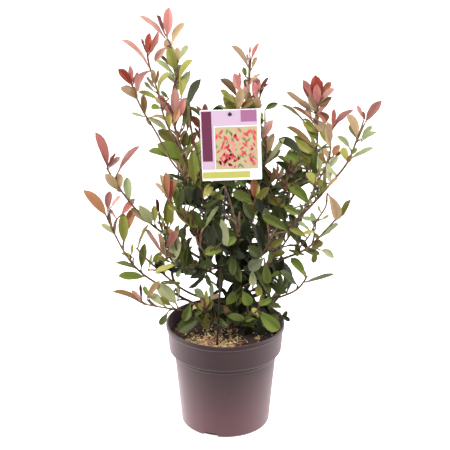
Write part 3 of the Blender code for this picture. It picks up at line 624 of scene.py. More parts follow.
def litter(name, kind, count, size, spread, finish, seed):
    """Scatter turned copies of a lump over the mix, most of them where spread says."""
    chance = random.Random(seed)
    template = lump(kind)
    places = []
    while len(places) < count:
        x, y = (chance.uniform(-1, 1) * soil_radius for _ in range(2))
        if math.hypot(x, y) > soil_radius - 0.004 or chance.random() > spread(x, y):
            continue
        grown = chance.uniform(0.6, 1.5)
        scale = Matrix.Diagonal([edge * grown for edge in size]).to_4x4()
        turn = Matrix.Rotation(chance.uniform(0, math.tau), 4, "Z")
        tilt = Matrix.Rotation(chance.uniform(-0.5, 0.5), 4, "X")
        height = soil_height(x, y) + size[2] * grown * chance.uniform(0.0, 0.5)
        places.append(Matrix.Translation((x, y, height)) @ turn @ tilt @ scale)
    return copies(name, template, places, finish)


def anywhere(x, y):
    return 1.0


def front_left(x, y):
    """Straw and chips lie thickest in front of the stem, a little to the left."""
    return 0.04 + 0.96 * math.exp(-((x + 0.034) / 0.040) ** 2 - ((y + 0.060) / 0.030) ** 2)


litter("peat_crumbs", "crumb", 2400, (0.0034, 0.0028, 0.0022), anywhere, crumb_finish, 11)
litter("bark_chips", "chip", 230, (0.0080, 0.0040, 0.0016), front_left, chip_finish, 12)
litter("straw_bits", "chip", 330, (0.0095, 0.0020, 0.0012), front_left, straw_finish, 13)
litter("white_grit", "crumb", 60, (0.0024, 0.0022, 0.0018), anywhere, speck_finish, 14)
print("litter pieces done")

# %% [markdown]
# A picture card hangs on a thin leaning stick. The card here carries a plain design of its own: a
# border of lilac, a plum bar, a lime stripe and a field of small red and green leaf shapes. Each
# ink is a thin flat mesh a hair above the card, so no image is needed.

# %% Card and stick
STICK_FOOT = (-0.016, -0.061)
STICK_HEAD = (0.008, -0.0765, 0.664)
STICK_RADIUS = 0.0020
CARD_WIDTH = 0.109
CARD_HEIGHT = 0.135
CARD_THICKNESS = 0.001
CARD_CENTRE = Vector((0.0105, -0.0800, 0.6010))
CARD_TURN = math.radians(-2.0)
PEG_POINT = (0.008, 0.6600)
INK_LIFT = 0.00012
card_place = Matrix.Translation(CARD_CENTRE) @ Matrix.Rotation(CARD_TURN, 4, "Y")


def plate(centre, size, depth, thickness):
    """A thin upright plate in card coordinates (across, up), with its front at a depth."""
    bm = bmesh.new()
    bmesh.ops.create_cube(bm, size=1)
    bmesh.ops.scale(bm, verts=bm.verts, vec=(size[0], thickness, size[1]))
    bmesh.ops.translate(bm, verts=bm.verts, vec=(centre[0], depth + thickness / 2, centre[1]))
    bmesh.ops.transform(bm, matrix=card_place, verts=bm.verts)
    return bm


card_bm = plate((0, 0), (CARD_WIDTH, CARD_HEIGHT), -CARD_THICKNESS / 2, CARD_THICKNESS)
upright = [edge for edge in card_bm.edges if abs(edge.verts[0].co.y - edge.verts[1].co.y) > CARD_THICKNESS / 2]
bmesh.ops.bevel(card_bm, geom=upright, offset=0.0016, segments=4, profile=0.5, affect="EDGES", material=-1)
piece("card_plate", card_bm, card_finish, ["label_card"], 30.0)


def printed(name, shapes, ink):
    """One ink: outlines of (across, up) points, each raised a hair above the card."""
    bm = bmesh.new()
    depth = -CARD_THICKNESS / 2 - INK_LIFT
    for level, outline in shapes:
        corners = [bm.verts.new((x, depth - level * INK_LIFT, z)) for x, z in outline]
        face = bm.faces.new(corners)
        back = bmesh.ops.extrude_face_region(bm, geom=[face])["geom"]
        moved = [item for item in back if isinstance(item, bmesh.types.BMVert)]
        bmesh.ops.translate(bm, verts=moved, vec=(0, INK_LIFT * 0.9, 0))
    bmesh.ops.recalc_face_normals(bm, faces=bm.faces)
    bmesh.ops.transform(bm, matrix=card_place, verts=bm.verts)
    return piece(name, bm, inks[ink], (), 30.0)


def box_outline(left, bottom, right, top):
    return [(left, bottom), (right, bottom), (right, top), (left, top)]


def leaf_outline(x, z, length, turn, plump=0.36, points=7):
    """A small pointed oval, the motif of the card."""
    rim = [(share, math.sin(math.pi * share) * plump / 2) for share in np.linspace(0, 1, points)]
    rim += [(share, -half) for share, half in rim[-2:0:-1]]
    ca, sa = math.cos(turn), math.sin(turn)
    return [(x + length * (a * ca - b * sa), z + length * (a * sa + b * ca)) for a, b in rim]


FIELD = (-0.0290, -0.0460, 0.0480, 0.0350)
PETALS = 110
PETAL_LENGTH = (0.008, 0.015)
PETAL_INKS = {"sage": 2, "blush": 3, "scarlet": 4}
chance = random.Random("card")
motifs = {ink: [] for ink in PETAL_INKS}
for number in range(PETALS):
    ink = chance.choice(("sage", "blush", "blush", "scarlet", "scarlet"))
    length = chance.uniform(*PETAL_LENGTH)
    turn = math.pi / 2 + chance.uniform(-1.1, 1.1)
    petal_x = chance.uniform(FIELD[0] + max(0, -math.cos(turn)) * length, FIELD[2] - max(0, math.cos(turn)) * length)
    petal_z = chance.uniform(FIELD[1] + 0.001, FIELD[3] - length * math.sin(turn) - 0.001)
    petal_x = min(max(petal_x, FIELD[0] + 0.0015), FIELD[2] - 0.0015)
    motifs[ink].append((PETAL_INKS[ink], leaf_outline(petal_x, petal_z, length, turn)))
printed("card_lilac", [(0, box_outline(-0.0535, 0.0370, 0.0480, 0.0664)),
                       (0, box_outline(-0.0535, -0.0460, -0.0300, 0.0371))], "lilac")
printed("card_violet", [(1, box_outline(0.0190, 0.0440, 0.0480, 0.0664))], "violet")
printed("card_plum", [(1, box_outline(-0.0520, -0.0300, -0.0340, 0.0650))], "plum")
printed("card_field", [(1, box_outline(*FIELD))], "moss")
printed("card_lime", [(1, box_outline(-0.0535, -0.0630, 0.0330, -0.0505))], "lime_ink")
for ink, shapes in motifs.items():
    printed("card_motif_" + ink, shapes, ink)


def rod(start, end, radius, steps):
    """A straight round rod between two points, with slightly rounded ends."""
    start, end = Vector(start), Vector(end)
    bm = bmesh.new()
    bmesh.ops.create_cone(bm, cap_ends=True, segments=steps, radius1=radius, radius2=radius,
                          depth=(end - start).length)
    rims = [edge for edge in bm.edges if abs(edge.verts[0].co.z - edge.verts[1].co.z) < 1e-6]
    bmesh.ops.bevel(bm, geom=rims, offset=radius * 0.3, segments=2, profile=0.5, affect="EDGES", material=-1)
    turn = (end - start).to_track_quat("Z", "X").to_matrix().to_4x4()
    bmesh.ops.transform(bm, matrix=Matrix.Translation((start + end) / 2) @ turn, verts=bm.verts)
    return bm


def merged(first, *others):
    """Add the meshes of other bmeshes to the first."""
    for other in others:
        spare = bpy.data.meshes.new("spare")
        other.to_mesh(spare)
        other.free()
        first.from_mesh(spare)
        bpy.data.meshes.remove(spare)
    return first


peg_x, peg_z = PEG_POINT
front = CARD_CENTRE.y - CARD_THICKNESS / 2 - 0.0003
stick = rod((*STICK_FOOT, SOIL_TOP), STICK_HEAD, STICK_RADIUS, 20)
peg = rod((peg_x, front - 0.0003, peg_z), (peg_x, STICK_HEAD[1], peg_z), 0.0020, 20)
peg_head = rod((peg_x, front - 0.0012, peg_z), (peg_x, front, peg_z), 0.0034, 28)
piece("card_stick", merged(stick, peg, peg_head), stick_finish, ["label_stick"])
print("card done")

# %% [markdown]
# Now the plant. The plan below is the plan of the solids: each shoot leaves a limb at a share of
# its length, bows past an elbow to its tip, and is bare for a share of its own length. Growing the
# fine plant by the same plan keeps every stem and leaf where its solid is.

# %% Plan of the shoots
TRUNK_FOOT = (0.010, 0.022, SOIL_TOP + 0.0003)
TRUNK_ELBOW = (0.015, 0.022, 0.262)
TRUNK_HEAD = (0.0246, 0.022, 0.3333)
TRUNK_FLARE_RADIUS = 0.0105
TRUNK_FOOT_RADIUS = 0.0066
TRUNK_HEAD_RADIUS = 0.0050
TRUNK_FLARE_HEIGHT = 0.014
SHOOTS = {
    "middle": ("trunk", 1.00, (0.040, 0.049, 0.528), (0.045, 0.058, 0.704), 0.50, 0.0038, 16),
    "left_leader": ("trunk", 0.94, (-0.114, 0.004, 0.545), (-0.106, 0.030, 0.766), 0.55, 0.0038, 19),
    "left_long": ("trunk", 0.78, (-0.149, -0.016, 0.388), (-0.220, -0.030, 0.539), 0.42, 0.0033, 14),
    "left_mid": ("trunk", 0.86, (-0.084, -0.051, 0.435), (-0.106, -0.060, 0.495), 0.28, 0.0030, 14),
    "left_pink": ("trunk", 0.66, (-0.051, -0.041, 0.340), (-0.109, -0.060, 0.382), 0.32, 0.0030, 13),
    "left_low_inner": ("trunk", 0.36, (-0.096, -0.041, 0.271), (-0.184, -0.060, 0.417), 0.36, 0.0030, 14),
    "left_low": ("trunk", 0.24, (-0.166, -0.006, 0.256), (-0.224, -0.010, 0.433), 0.38, 0.0032, 16),
    "left_lowest": ("trunk", 0.15, (-0.090, -0.033, 0.249), (-0.158, -0.035, 0.264), 0.36, 0.0028, 9),
    "right_long": ("trunk", 0.82, (0.160, -0.056, 0.435), (0.250, -0.030, 0.612), 0.53, 0.0036, 16),
    "right_rosette": ("trunk", 0.94, (0.152, 0.064, 0.409), (0.171, 0.050, 0.636), 0.44, 0.0034, 20),
    "right_mid": ("trunk", 0.76, (0.151, -0.061, 0.367), (0.208, -0.060, 0.452), 0.60, 0.0030, 8),
    "right_low": ("trunk", 0.30, (0.131, -0.046, 0.262), (0.163, -0.050, 0.346), 0.34, 0.0030, 13),
    "back_left": ("trunk", 0.84, (-0.050, 0.150, 0.380), (-0.100, 0.200, 0.470), 0.35, 0.0031, 15),
    "back_right": ("trunk", 0.91, (0.085, 0.140, 0.400), (0.130, 0.180, 0.500), 0.35, 0.0031, 15),
    "back_middle": ("trunk", 0.62, (0.020, 0.160, 0.310), (0.010, 0.220, 0.420), 0.35, 0.0030, 14),
    "front_left": ("trunk", 0.73, (-0.040, -0.106, 0.375), (-0.054, -0.130, 0.443), 0, 0.0028, 17),
    "front_middle": ("trunk", 0.90, (0.020, -0.088, 0.417), (0.026, -0.125, 0.488), 0, 0.0028, 16),
    "front_right": ("trunk", 0.68, (0.073, -0.106, 0.402), (0.106, -0.130, 0.479), 0, 0.0028, 18),
    "left_fork": ("left_leader", 0.43, (-0.128, -0.003, 0.657), (-0.141, -0.010, 0.746), 0, 0.0024, 14),
    "left_upper": ("left_leader", 0.36, (-0.128, 0.053, 0.546), (-0.175, 0.060, 0.670), 0, 0.0025, 17),
    "left_shoulder": ("left_leader", 0.24, (-0.075, 0.045, 0.470), (-0.098, 0.062, 0.540), 0, 0.0022, 13),
    "left_inner": ("left_leader", 0.30, (-0.044, -0.032, 0.545), (-0.067, -0.030, 0.629), 0, 0.0024, 13),
    "card_left": ("left_leader", 0.18, (-0.036, 0.072, 0.534), (-0.038, 0.040, 0.614), 0, 0.0024, 13),
    "middle_twin": ("middle", 0.45, (0.019, 0.008, 0.530), (0.022, 0.020, 0.659), 0, 0.0024, 13),
    "card_right": ("middle", 0.24, (0.083, -0.012, 0.488), (0.072, -0.010, 0.610), 0, 0.0024, 15),
    "back_upper": ("middle", 0.32, (0.020, 0.120, 0.490), (0.025, 0.160, 0.600), 0, 0.0024, 14),
    "right_fork": ("right_long", 0.47, (0.198, -0.006, 0.536), (0.206, 0.000, 0.609), 0, 0.0024, 14),
    "right_upturn": ("right_mid", 0.54, (0.184, -0.093, 0.467), (0.186, -0.090, 0.504), 0, 0.0022, 8),
    "right_inner": ("right_rosette", 0.14, (0.105, -0.006, 0.438), (0.123, 0.000, 0.544), 0, 0.0025, 16),
    "centre_bud": ("trunk", 0.96, (0.042, -0.073, 0.422), (0.057, -0.055, 0.493), 0, 0.0024, 14),
    "front_pair": ("trunk", 0.80, (0.013, -0.074, 0.378), (0.004, -0.090, 0.400), 0, 0.0024, 8),
    "front_mid_right": ("trunk", 0.55, (0.064, -0.066, 0.324), (0.079, -0.090, 0.367), 0, 0.0024, 12),
    "front_low_right": ("trunk", 0.17, (0.057, -0.046, 0.231), (0.064, -0.050, 0.269), 0, 0.0022, 9),
    "front_low_left": ("trunk", 0.07, (-0.032, -0.046, 0.229), (-0.043, -0.050, 0.266), 0, 0.0022, 8),
    "right_lowest": ("trunk", 0.12, (0.092, -0.011, 0.228), (0.114, 0.000, 0.226), 0, 0.0022, 9),
    "right_base": ("trunk", 0.42, (0.080, 0.004, 0.283), (0.105, -0.005, 0.325), 0, 0.0024, 12),
    "back_low_left": ("trunk", 0.44, (-0.090, 0.120, 0.280), (-0.150, 0.150, 0.370), 0, 0.0026, 14),
    "back_low_right": ("trunk", 0.50, (0.100, 0.120, 0.290), (0.155, 0.140, 0.370), 0, 0.0026, 14),
}
STEP = 0.004
WEAVE = 0.0035
WEAVE_SHARE = 0.02
WEAVE_TURNS = 1.6
LEAN_AXIS = (0.31, 0.94, 0.12)
SWAY = {
    "left_leader": (0.88, 0.0150, 0.10), "right_rosette": (0.80, 0.0145, 0.15),
    "right_fork": (1.0, -0.0080, 0.25), "right_long": (0.83, 0.0075, 0.10),
}
BOUGH_TIP_SHARE = 0.72
STEM_TIP_RADIUS = 0.0017


def bow(start, elbow, tip, seed):
    """Points every few millimetres on a bow from start to tip, with a slight weave."""
    start, elbow, tip = (np.array(point, float) for point in (start, elbow, tip))
    length = np.linalg.norm(elbow - start) + np.linalg.norm(tip - elbow)
    share = np.linspace(0, 1, max(8, int(length / STEP)))[:, None]
    points = (1 - share) ** 2 * start + 2 * share * (1 - share) * elbow + share ** 2 * tip
    chance = random.Random(seed)
    sway = np.array([chance.uniform(-1, 1) for _ in range(3)])
    sway -= (tip - start) * np.dot(sway, tip - start) / np.dot(tip - start, tip - start)
    sway /= np.linalg.norm(sway)
    phase = chance.uniform(0, math.tau)
    wave = np.sin(WEAVE_TURNS * math.tau * share + phase) * np.sin(math.pi * share)
    return points + wave * sway * min(WEAVE, length * WEAVE_SHARE)


def lengths(points):
    """Distance along a path at each of its points."""
    return np.concatenate(([0.0], np.cumsum(np.linalg.norm(np.diff(points, axis=0), axis=1))))


def point_at(points, distance):
    """The point and the direction at a distance along a path."""
    along = lengths(points)
    spot, before, after = (np.array([np.interp(at, along, points[:, axis]) for axis in range(3)])
                           for at in (distance, distance - STEP, distance + STEP))
    return spot, (after - before) / np.linalg.norm(after - before)


def plan_shoots():
    """The path, the length, the bare part and the radii of every shoot."""
    path = bow(TRUNK_FOOT, TRUNK_ELBOW, TRUNK_HEAD, "trunk")
    plan = {"trunk": {"path": path, "length": lengths(path)[-1]}}
    for name, (parent, share, elbow, tip, bare, radius, leaves) in SHOOTS.items():
        base = plan[parent]
        path = bow(point_at(base["path"], base["length"] * share)[0], elbow, tip, name)
        if name in SWAY:
            middle, aside, spread = SWAY[name]
            share = np.linspace(0, 1, len(path))
            path[:, 0] += aside * np.exp(-((share - middle) / spread) ** 2)
        length = lengths(path)[-1]
        end_radius = radius * BOUGH_TIP_SHARE if bare else radius * 0.8
        plan[name] = {"path": path, "length": length, "bare_end": bare * length, "radius": radius,
                      "end_radius": end_radius, "leaves": leaves}
    return plan


plan = plan_shoots()
print("shoots", len(plan) - 1)

# %% [markdown]
# Stems are curves with a round bevel, one spline for each, whose radius falls along it. Blender
# turns them into closed tubes in one go. The old bark is then pushed in and out along its normals
# for cracks and leaf scars, while young stems stay smooth.

# %% Stems
BARK_RELIEF = 0.00055
SCAR_EVERY = 0.017
TUBE_STEP = 0.0028


def stem_tubes(name, stems, sides):
    """Closed tapering tubes from a list of (points, radii)."""
    curve = bpy.data.curves.new(name, "CURVE")
    curve.dimensions = "3D"
    curve.bevel_depth = 1.0
    curve.bevel_resolution = sides // 2 - 2
    curve.use_fill_caps = True
    for points, radii in stems:
        spline = curve.splines.new("POLY")
        spline.points.add(len(points) - 1)
        spline.points.foreach_set("co", np.column_stack((points, np.ones(len(points)))).ravel())
        spline.points.foreach_set("radius", radii)
    holder = bpy.data.objects.new(name, curve)
    scene.collection.objects.link(holder)
    mesh = bpy.data.meshes.new_from_object(holder.evaluated_get(bpy.context.evaluated_depsgraph_get()))
    bpy.data.objects.remove(holder)
    bm = bmesh.new()
    bm.from_mesh(mesh)
    bpy.data.meshes.remove(mesh)
    bmesh.ops.recalc_face_normals(bm, faces=bm.faces)
    return bm


def fine_path(path, start, end, step):
    count = max(3, int((end - start) / step))
    return np.array([point_at(path, at)[0] for at in np.linspace(start, end, count)])


def bark_mesh():
    """Trunk and boughs, with cracks along them and rings where leaves once sat."""
    trunk = plan["trunk"]
    points = fine_path(trunk["path"], 0, trunk["length"], TUBE_STEP)
    along = lengths(points)
    flare = np.clip(1 - along / TRUNK_FLARE_HEIGHT, 0, 1) ** 2 * (TRUNK_FLARE_RADIUS - TRUNK_FOOT_RADIUS)
    radii = TRUNK_FOOT_RADIUS + (TRUNK_HEAD_RADIUS - TRUNK_FOOT_RADIUS) * along / along[-1] + flare
    stems = [(points, radii)]
    for shoot in list(plan.values())[1:]:
        if shoot["bare_end"]:
            points = fine_path(shoot["path"], 0, shoot["bare_end"], TUBE_STEP)
            stems.append((points, np.linspace(shoot["radius"], shoot["end_radius"], len(points))))
    bm = stem_tubes("bark", stems, 18)
    bm.normal_update()
    for corner in bm.verts:
        spot = corner.co
        crack = noise.noise(Vector((spot.x * 900, spot.y * 900, spot.z * 110)))
        broad = noise.noise(spot * 160)
        scar = max(0.0, math.cos(math.tau * spot.z / SCAR_EVERY + broad * 3)) ** 12
        corner.co += corner.normal * BARK_RELIEF * (0.5 * crack + 0.5 * broad + 0.5 * scar)
    return bm


bark_nodes = ["trunk"] + [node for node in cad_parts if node.startswith("bough_")]
bark = piece("bark", bark_mesh(), bark_finish, bark_nodes, 60.0)
print("bark faces", len(bark.data.polygons))

# %% [markdown]
# One leaf is a grid bent into shape: a thin stalk, then a blade that widens past its middle and
# ends in a point. It folds up along its midrib and curves down along its length. The grid and its
# copy below meet at the rim, so a leaf is a closed lens that is thickest at the midrib.

# %% Leaf
LEAF_ROWS = 10
LEAF_COLUMNS = 4
STALK = 0.07
STALK_HALF = 0.0014
LEAF_THICK = 0.00035
RIB_DIP = 0.0005


def leaf_grid():
    """Places on a leaf (along, across, side) and its faces, upper side first."""
    bm = bmesh.new()
    bmesh.ops.create_grid(bm, x_segments=LEAF_ROWS, y_segments=LEAF_COLUMNS, size=0.5)
    top = bm.faces[:]
    copy = bmesh.ops.duplicate(bm, geom=bm.verts[:] + bm.edges[:] + top)["geom"]
    under = [item for item in copy if isinstance(item, bmesh.types.BMFace)]
    bmesh.ops.reverse_faces(bm, faces=under)
    for face in under:
        face.material_index = 1
    for faces, side in ((top, 1), (under, -1)):
        for corner in {corner for face in faces for corner in face.verts}:
            inside = abs(corner.co.x) < 0.499 and abs(corner.co.y) < 0.499
            corner.co.z = side if inside else 0
    bmesh.ops.remove_doubles(bm, verts=bm.verts, dist=0.001)
    bm.verts.index_update()
    places = np.array([(corner.co.x + 0.5, corner.co.y * 2, corner.co.z) for corner in bm.verts])
    places[:, 0] = places[:, 0] ** 1.15
    faces = np.array([[corner.index for corner in face.verts] for face in bm.faces])
    sides = np.array([face.material_index for face in bm.faces])
    bm.free()
    return places, faces, sides


leaf_places, leaf_faces, leaf_sides = leaf_grid()
rows = leaf_places[:, 0]
STALK_ROW = 2
leaf_sides[rows[leaf_faces].mean(axis=1) < STALK] = STALK_ROW
across = leaf_places[:, 1]
blade = np.clip((rows - STALK) / (1 - STALK), 0, 1)
print("leaf faces", len(leaf_faces), "corners", len(leaf_places))


def leaf_corners(root, way, up, length, width, bend, chance, fold, bow=None):
    """Corners of one leaf that leaves its root along way, with its upper side towards up."""
    pointed = chance.uniform(0.0, 1.0)
    twist = chance.uniform(-0.4, 0.4)
    ripple, phase = chance.uniform(0.0002, 0.0011), chance.uniform(0, 6)
    shape = blade ** (1.04 - 0.10 * pointed) * (1 - blade) ** (0.50 + 0.32 * pointed)
    shape /= shape.max()
    side = np.cross(way, up)
    turn = bend * rows
    ahead = np.outer(np.sin(turn) / bend, way) - np.outer((1 - np.cos(turn)) / bend, up)
    upward = np.outer(np.cos(turn), up) + np.outer(np.sin(turn), way)
    roll = twist * rows
    sideways = np.outer(np.cos(roll), side) + upward * np.sin(roll)[:, None]
    upward = upward * np.cos(roll)[:, None] - np.outer(np.sin(roll), side)
    half = np.maximum(width / 2 * shape, STALK_HALF * (1 - blade) ** 2 + 0.0002)
    thick = LEAF_THICK + STALK_HALF * (1 - np.minimum(1, blade * 3.5))
    height = np.abs(across) * half * math.sin(fold) + leaf_places[:, 2] * thick * (1 - np.abs(across) * 0.6)
    height += ripple * shape * np.abs(across) * np.sin(rows * 15 + phase + 1.3 * np.sign(across))
    height -= RIB_DIP * shape * (np.abs(across) < 0.1)
    corners = root + ahead * length + sideways * (across * half * math.cos(fold))[:, None] + upward * height[:, None]
    if bow is not None:
        corners = corners + np.outer(4 * rows * (1 - rows), bow)
    return corners

# %% [markdown]
# Each shoot deals out its own colours, counted from its tip: coral, red or bronze at the end, then
# tan and olive, and green below. Two letters of this table name a colour, so the mixture of a shoot
# is one short line.

# %% Colours along the shoots
LETTERS = {
    "co": "coral", "sa": "salmon", "ro": "rose", "re": "red", "ma": "maroon", "ru": "rust", "or": "orange",
    "br": "bronze", "ta": "tan", "sg": "sage", "mi": "mist", "li": "lime", "ol": "olive", "mo": "moss",
    "bi": "bright", "le": "leaf", "gr": "green", "de": "deep", "da": "dark", "fa": "fawn", "du": "dusk",
    "um": "umber", "as": "ash",
}
TIP_COLOURS = {
    "middle": "co ro sa ta ta ol br ol ta li ol le", "left_leader": "co sa ma ta li li ol li ta li ol li br ol",
    "left_long": "ro re sa ta ta ol li ol le", "left_mid": "or br or ro br ol mo ol le",
    "left_pink": "ro ro sa re ol mi le ol", "left_low_inner": "br ro sa ol le li",
    "left_low": "or co ro br li ol li le", "left_lowest": "br sa or ol le",
    "right_long": "sa ro sa ol li ol li ol le", "right_rosette": "re co ro sa re co ta br ru ta ol mo br ol ol le",
    "right_mid": "le ta ol ol", "right_low": "ol le bi le", "back_left": "sa ro ta br ol ol mo",
    "back_right": "ro br sa ol ol mo le", "back_middle": "br or ol ol le", "front_left": "bi le gr bi",
    "front_middle": "le gr de le", "front_right": "le bi le gr", "left_fork": "co re ma sa ta sa br ol ol li",
    "left_upper": "re co ma ta sa ol br ol li", "left_shoulder": "le le ol gr", "left_inner": "de ol de le",
    "card_left": "re ro ma br ol", "middle_twin": "co ro br ol sa ta ol ol", "card_right": "br ta br or ol ol le",
    "back_upper": "co sa br ta ol ol", "right_fork": "ro sa ta ta ol br ol li", "right_upturn": "bi ol li ta",
    "right_inner": "ru br or ma br mo le", "centre_bud": "re ro or bi le ol", "front_pair": "bi le gr",
    "front_mid_right": "le gr de", "front_low_right": "le gr mo", "front_low_left": "or ol le ol gr",
    "right_lowest": "gr de", "right_base": "le gr", "back_low_left": "sa br ol le",
    "back_low_right": "br ta ol le",
}
# Painted light and shade, with real age: fringe leaves get paler greens and leaves near the crown's middle darker ones,
# partly because inner leaves are older and partly for the light on the fringe and the shade inside.
OUTSIDE_COLOURS = ("olive", "lime", "olive", "bright", "leaf", "bright", "moss", "bronze", "leaf", "leaf")
INSIDE_OLD_AND_SHADED_COLOURS = ("leaf", "leaf", "green", "green", "green", "deep", "deep", "deep", "dark", "dark", "dark")
AXIS = (0.02, 0.02, 0.36)
INNER_REACH = 0.15
FLATTER = (1.0, 0.45, 1.0)


def colour_of(name, rank, root, chance):
    """Colour of a leaf so many places below a shoot's tip: pale far from the crown's middle and dark near it, partly
    for the leaves' age and partly as painted light on the fringe and painted shade inside.
    """
    tips = TIP_COLOURS[name].split()
    if rank < len(tips):
        return LETTERS[tips[rank]]
    away = (np.array(root) - AXIS) * FLATTER
    out = np.linalg.norm(away) / INNER_REACH + chance.uniform(-0.25, 0.25)
    return chance.choice(OUTSIDE_COLOURS if out > 1 else INSIDE_OLD_AND_SHADED_COLOURS)

# %% [markdown]
# Seen from the front, the crown is open: sky shows between the shoots and through small gaps in the
# middle. One outline holds the leaves that follow the rule, and a list of ovals keeps the larger
# gaps open. The fringe outside that outline is drawn by leaves that are placed one by one further on.

# %% Outline and gaps of the crown
CROWN = [
    (162, 56), (172, 46), (184, 50), (188, 66), (190, 96), (198, 112), (214, 112), (222, 98), (224, 84),
    (236, 78), (248, 72), (258, 80), (262, 98), (264, 112), (270, 126), (270, 142), (278, 146), (280, 160),
    (274, 166), (282, 174), (286, 160), (288, 150), (294, 142), (290, 130), (300, 122), (294, 108),
    (300, 98), (308, 92), (326, 94), (328, 108), (332, 124), (334, 140), (334, 158), (334, 172), (326, 186),
    (312, 204), (300, 218), (296, 232), (306, 236), (304, 250), (290, 246), (282, 254), (288, 264),
    (296, 276), (294, 284), (284, 292), (276, 300), (284, 312), (282, 324), (272, 334), (250, 342),
    (222, 342), (196, 336), (182, 328), (182, 306), (196, 300), (206, 292), (204, 284), (186, 286),
    (176, 276), (164, 270), (160, 262), (164, 250), (162, 236), (162, 226), (158, 216), (160, 208),
    (160, 196), (160, 184), (164, 176),
    (178, 176), (180, 166), (168, 156), (156, 150), (158, 134), (174, 130), (162, 112), (152, 104),
    (150, 88), (156, 78), (158, 64),
]
GAPS = [
    (169, 83, 6, 8), (153, 100, 4, 4), (169, 122, 3, 7), (195, 136, 4, 6), (180, 145, 4, 4), (190, 157, 3, 4),
    (186, 209, 6, 4), (197, 209, 3, 3), (204, 203, 4, 2), (204, 215, 2, 3), (231, 199, 2, 4), (228, 216, 3, 3),
    (230, 228, 4, 4), (173, 222, 6, 8), (186, 234, 4, 4), (192, 247, 3, 6), (197, 258, 4, 4), (208, 236, 2, 4),
    (225, 255, 3, 6), (230, 262, 2, 5), (214, 262, 5, 6), (210, 280, 6, 13), (217, 280, 3, 9), (228, 284, 5, 7),
    (243, 272, 5, 3), (247, 250, 4, 4), (242, 287, 3, 3), (252, 286, 5, 5), (256, 298, 4, 5), (265, 258, 3, 7),
    (257, 251, 4, 3), (295, 197, 5, 9), (309, 188, 4, 4), (276, 182, 4, 4), (280, 196, 5, 2), (245, 187, 5, 4),
    (269, 170, 5, 8), (317, 138, 2, 7), (251, 242, 3, 3), (205, 336, 22, 9), (222, 336, 12, 9),
    (272, 290, 3, 3), (289, 240, 6, 5), (195, 121, 5, 8), (175, 106, 10, 12), (164, 80, 12, 24),
    (246, 84, 20, 20), (314, 94, 26, 22), (326, 124, 12, 22), (180, 284, 12, 10), (303, 200, 3, 12),
]


def inside(outline, spots):
    """Which spots of the picture lie inside an outline, by counting crossings."""
    x, y = spots.T
    crossings = np.zeros(len(spots), int)
    for (ax, ay), (bx, by) in zip(outline, outline[1:] + outline[:1]):
        spans = (ay > y) != (by > y)
        crossings += spans & (x < ax + (y - ay) * (bx - ax) / ((by - ay) or 1))
    return crossings % 2 == 1


def in_the_open(spots):
    """Whether any spot lies outside the crown or in one of its gaps."""
    if not inside(CROWN, spots).all():
        return True
    return any((((spots - (x, y)) / (wide, high)) ** 2).sum(axis=1).min() < 1 for x, y, wide, high in GAPS)


print("corners of the outline", len(CROWN), "gaps", len(GAPS))

# %% [markdown]
# A real crown has no leaf through another. Twelve points stand for each leaf, and a new leaf is
# kept only where its points stay clear of all others, of the stems, the pot and the card. If it
# doesn't fit, it is turned round its stem or made smaller, and at last left out.

# %% Room for leaves
CLEAR = 0.0040
STEM_CLEAR = 0.0024
SPOTS = np.array([(0.35, 0.0), (0.5, 0.7), (0.5, -0.7), (0.5, 0.0), (0.66, 0.8), (0.66, -0.8), (0.66, 0.0),
                  (0.82, 0.6), (0.82, -0.6), (0.84, 0.0), (0.97, 0.0), (0.4, 0.5)])
MIDDLE_SPOTS = [0, 3, 6, 9, 10]
VIEW_CLEAR = 2.6
VIEW_REACH = 34
CARD_MARGIN = 0.004
SOIL_MARGIN = 0.002


class Room:
    """The points already taken by leaves and stems."""

    def __init__(self):
        stems = [shoot["path"] for shoot in plan.values()]
        self.stems = np.concatenate(stems)
        self.taken = np.zeros((0, 3))
        self.in_view = np.zeros((0, 3))

    def hides(self, spots):
        """Whether a leaf would stand in front of one of the listed leaves."""
        seen = pixels_of(spots)
        near = self.in_view[(np.abs(self.in_view[:, :2] - seen.mean(axis=0)) < VIEW_REACH).all(axis=1)]
        apart = np.linalg.norm(seen[:, None] - near[None, :, :2], axis=2)
        return ((apart < VIEW_CLEAR) & (spots[:, 1][:, None] < near[None, :, 2])).any()

    def fits(self, spots):
        x, y, z = spots.T
        reach = np.hypot(x, y)
        if ((z < SOIL_TOP + HUMMOCK + SOIL_MARGIN) & (reach < LIP_RADIUS + SOIL_MARGIN)).any():
            return False
        if ((z < POT_HEIGHT + SOIL_MARGIN) & (reach > soil_radius - SOIL_MARGIN)).any():
            return False
        wide = abs(x - CARD_CENTRE.x) < CARD_WIDTH / 2 + CARD_MARGIN
        high = abs(z - CARD_CENTRE.z) < CARD_HEIGHT / 2 + CARD_MARGIN
        if (wide & high & (y < CARD_CENTRE.y + CARD_MARGIN)).any():
            return False
        if in_the_open(pixels_of(spots[MIDDLE_SPOTS])) or nearest(spots[3:], self.stems) < STEM_CLEAR:
            return False
        if len(self.taken) and nearest(spots, self.taken) <= CLEAR:
            return False
        return not self.hides(spots)

    def take(self, spots):
        self.taken = np.concatenate((self.taken, spots))

    def keep_in_view(self, spots):
        self.in_view = np.concatenate((self.in_view, np.column_stack((pixels_of(spots), spots[:, 1]))))


def nearest(spots, points):
    """Smallest distance between two groups of points."""
    near = points[(np.abs(points - spots.mean(axis=0)) < 0.045).all(axis=1)]
    if not len(near):
        return 1.0
    return np.linalg.norm(spots[:, None, :] - near[None, :, :], axis=2).min()


def leaf_spots(corners):
    """The points that stand for a leaf, read off its corners."""
    return corners[spot_corners]


spot_corners = np.array([
    np.argmin(np.abs(rows - along) * 2 + np.abs(across - aside) + (leaf_places[:, 2] < 0)) for along, aside in SPOTS
])
room = Room()
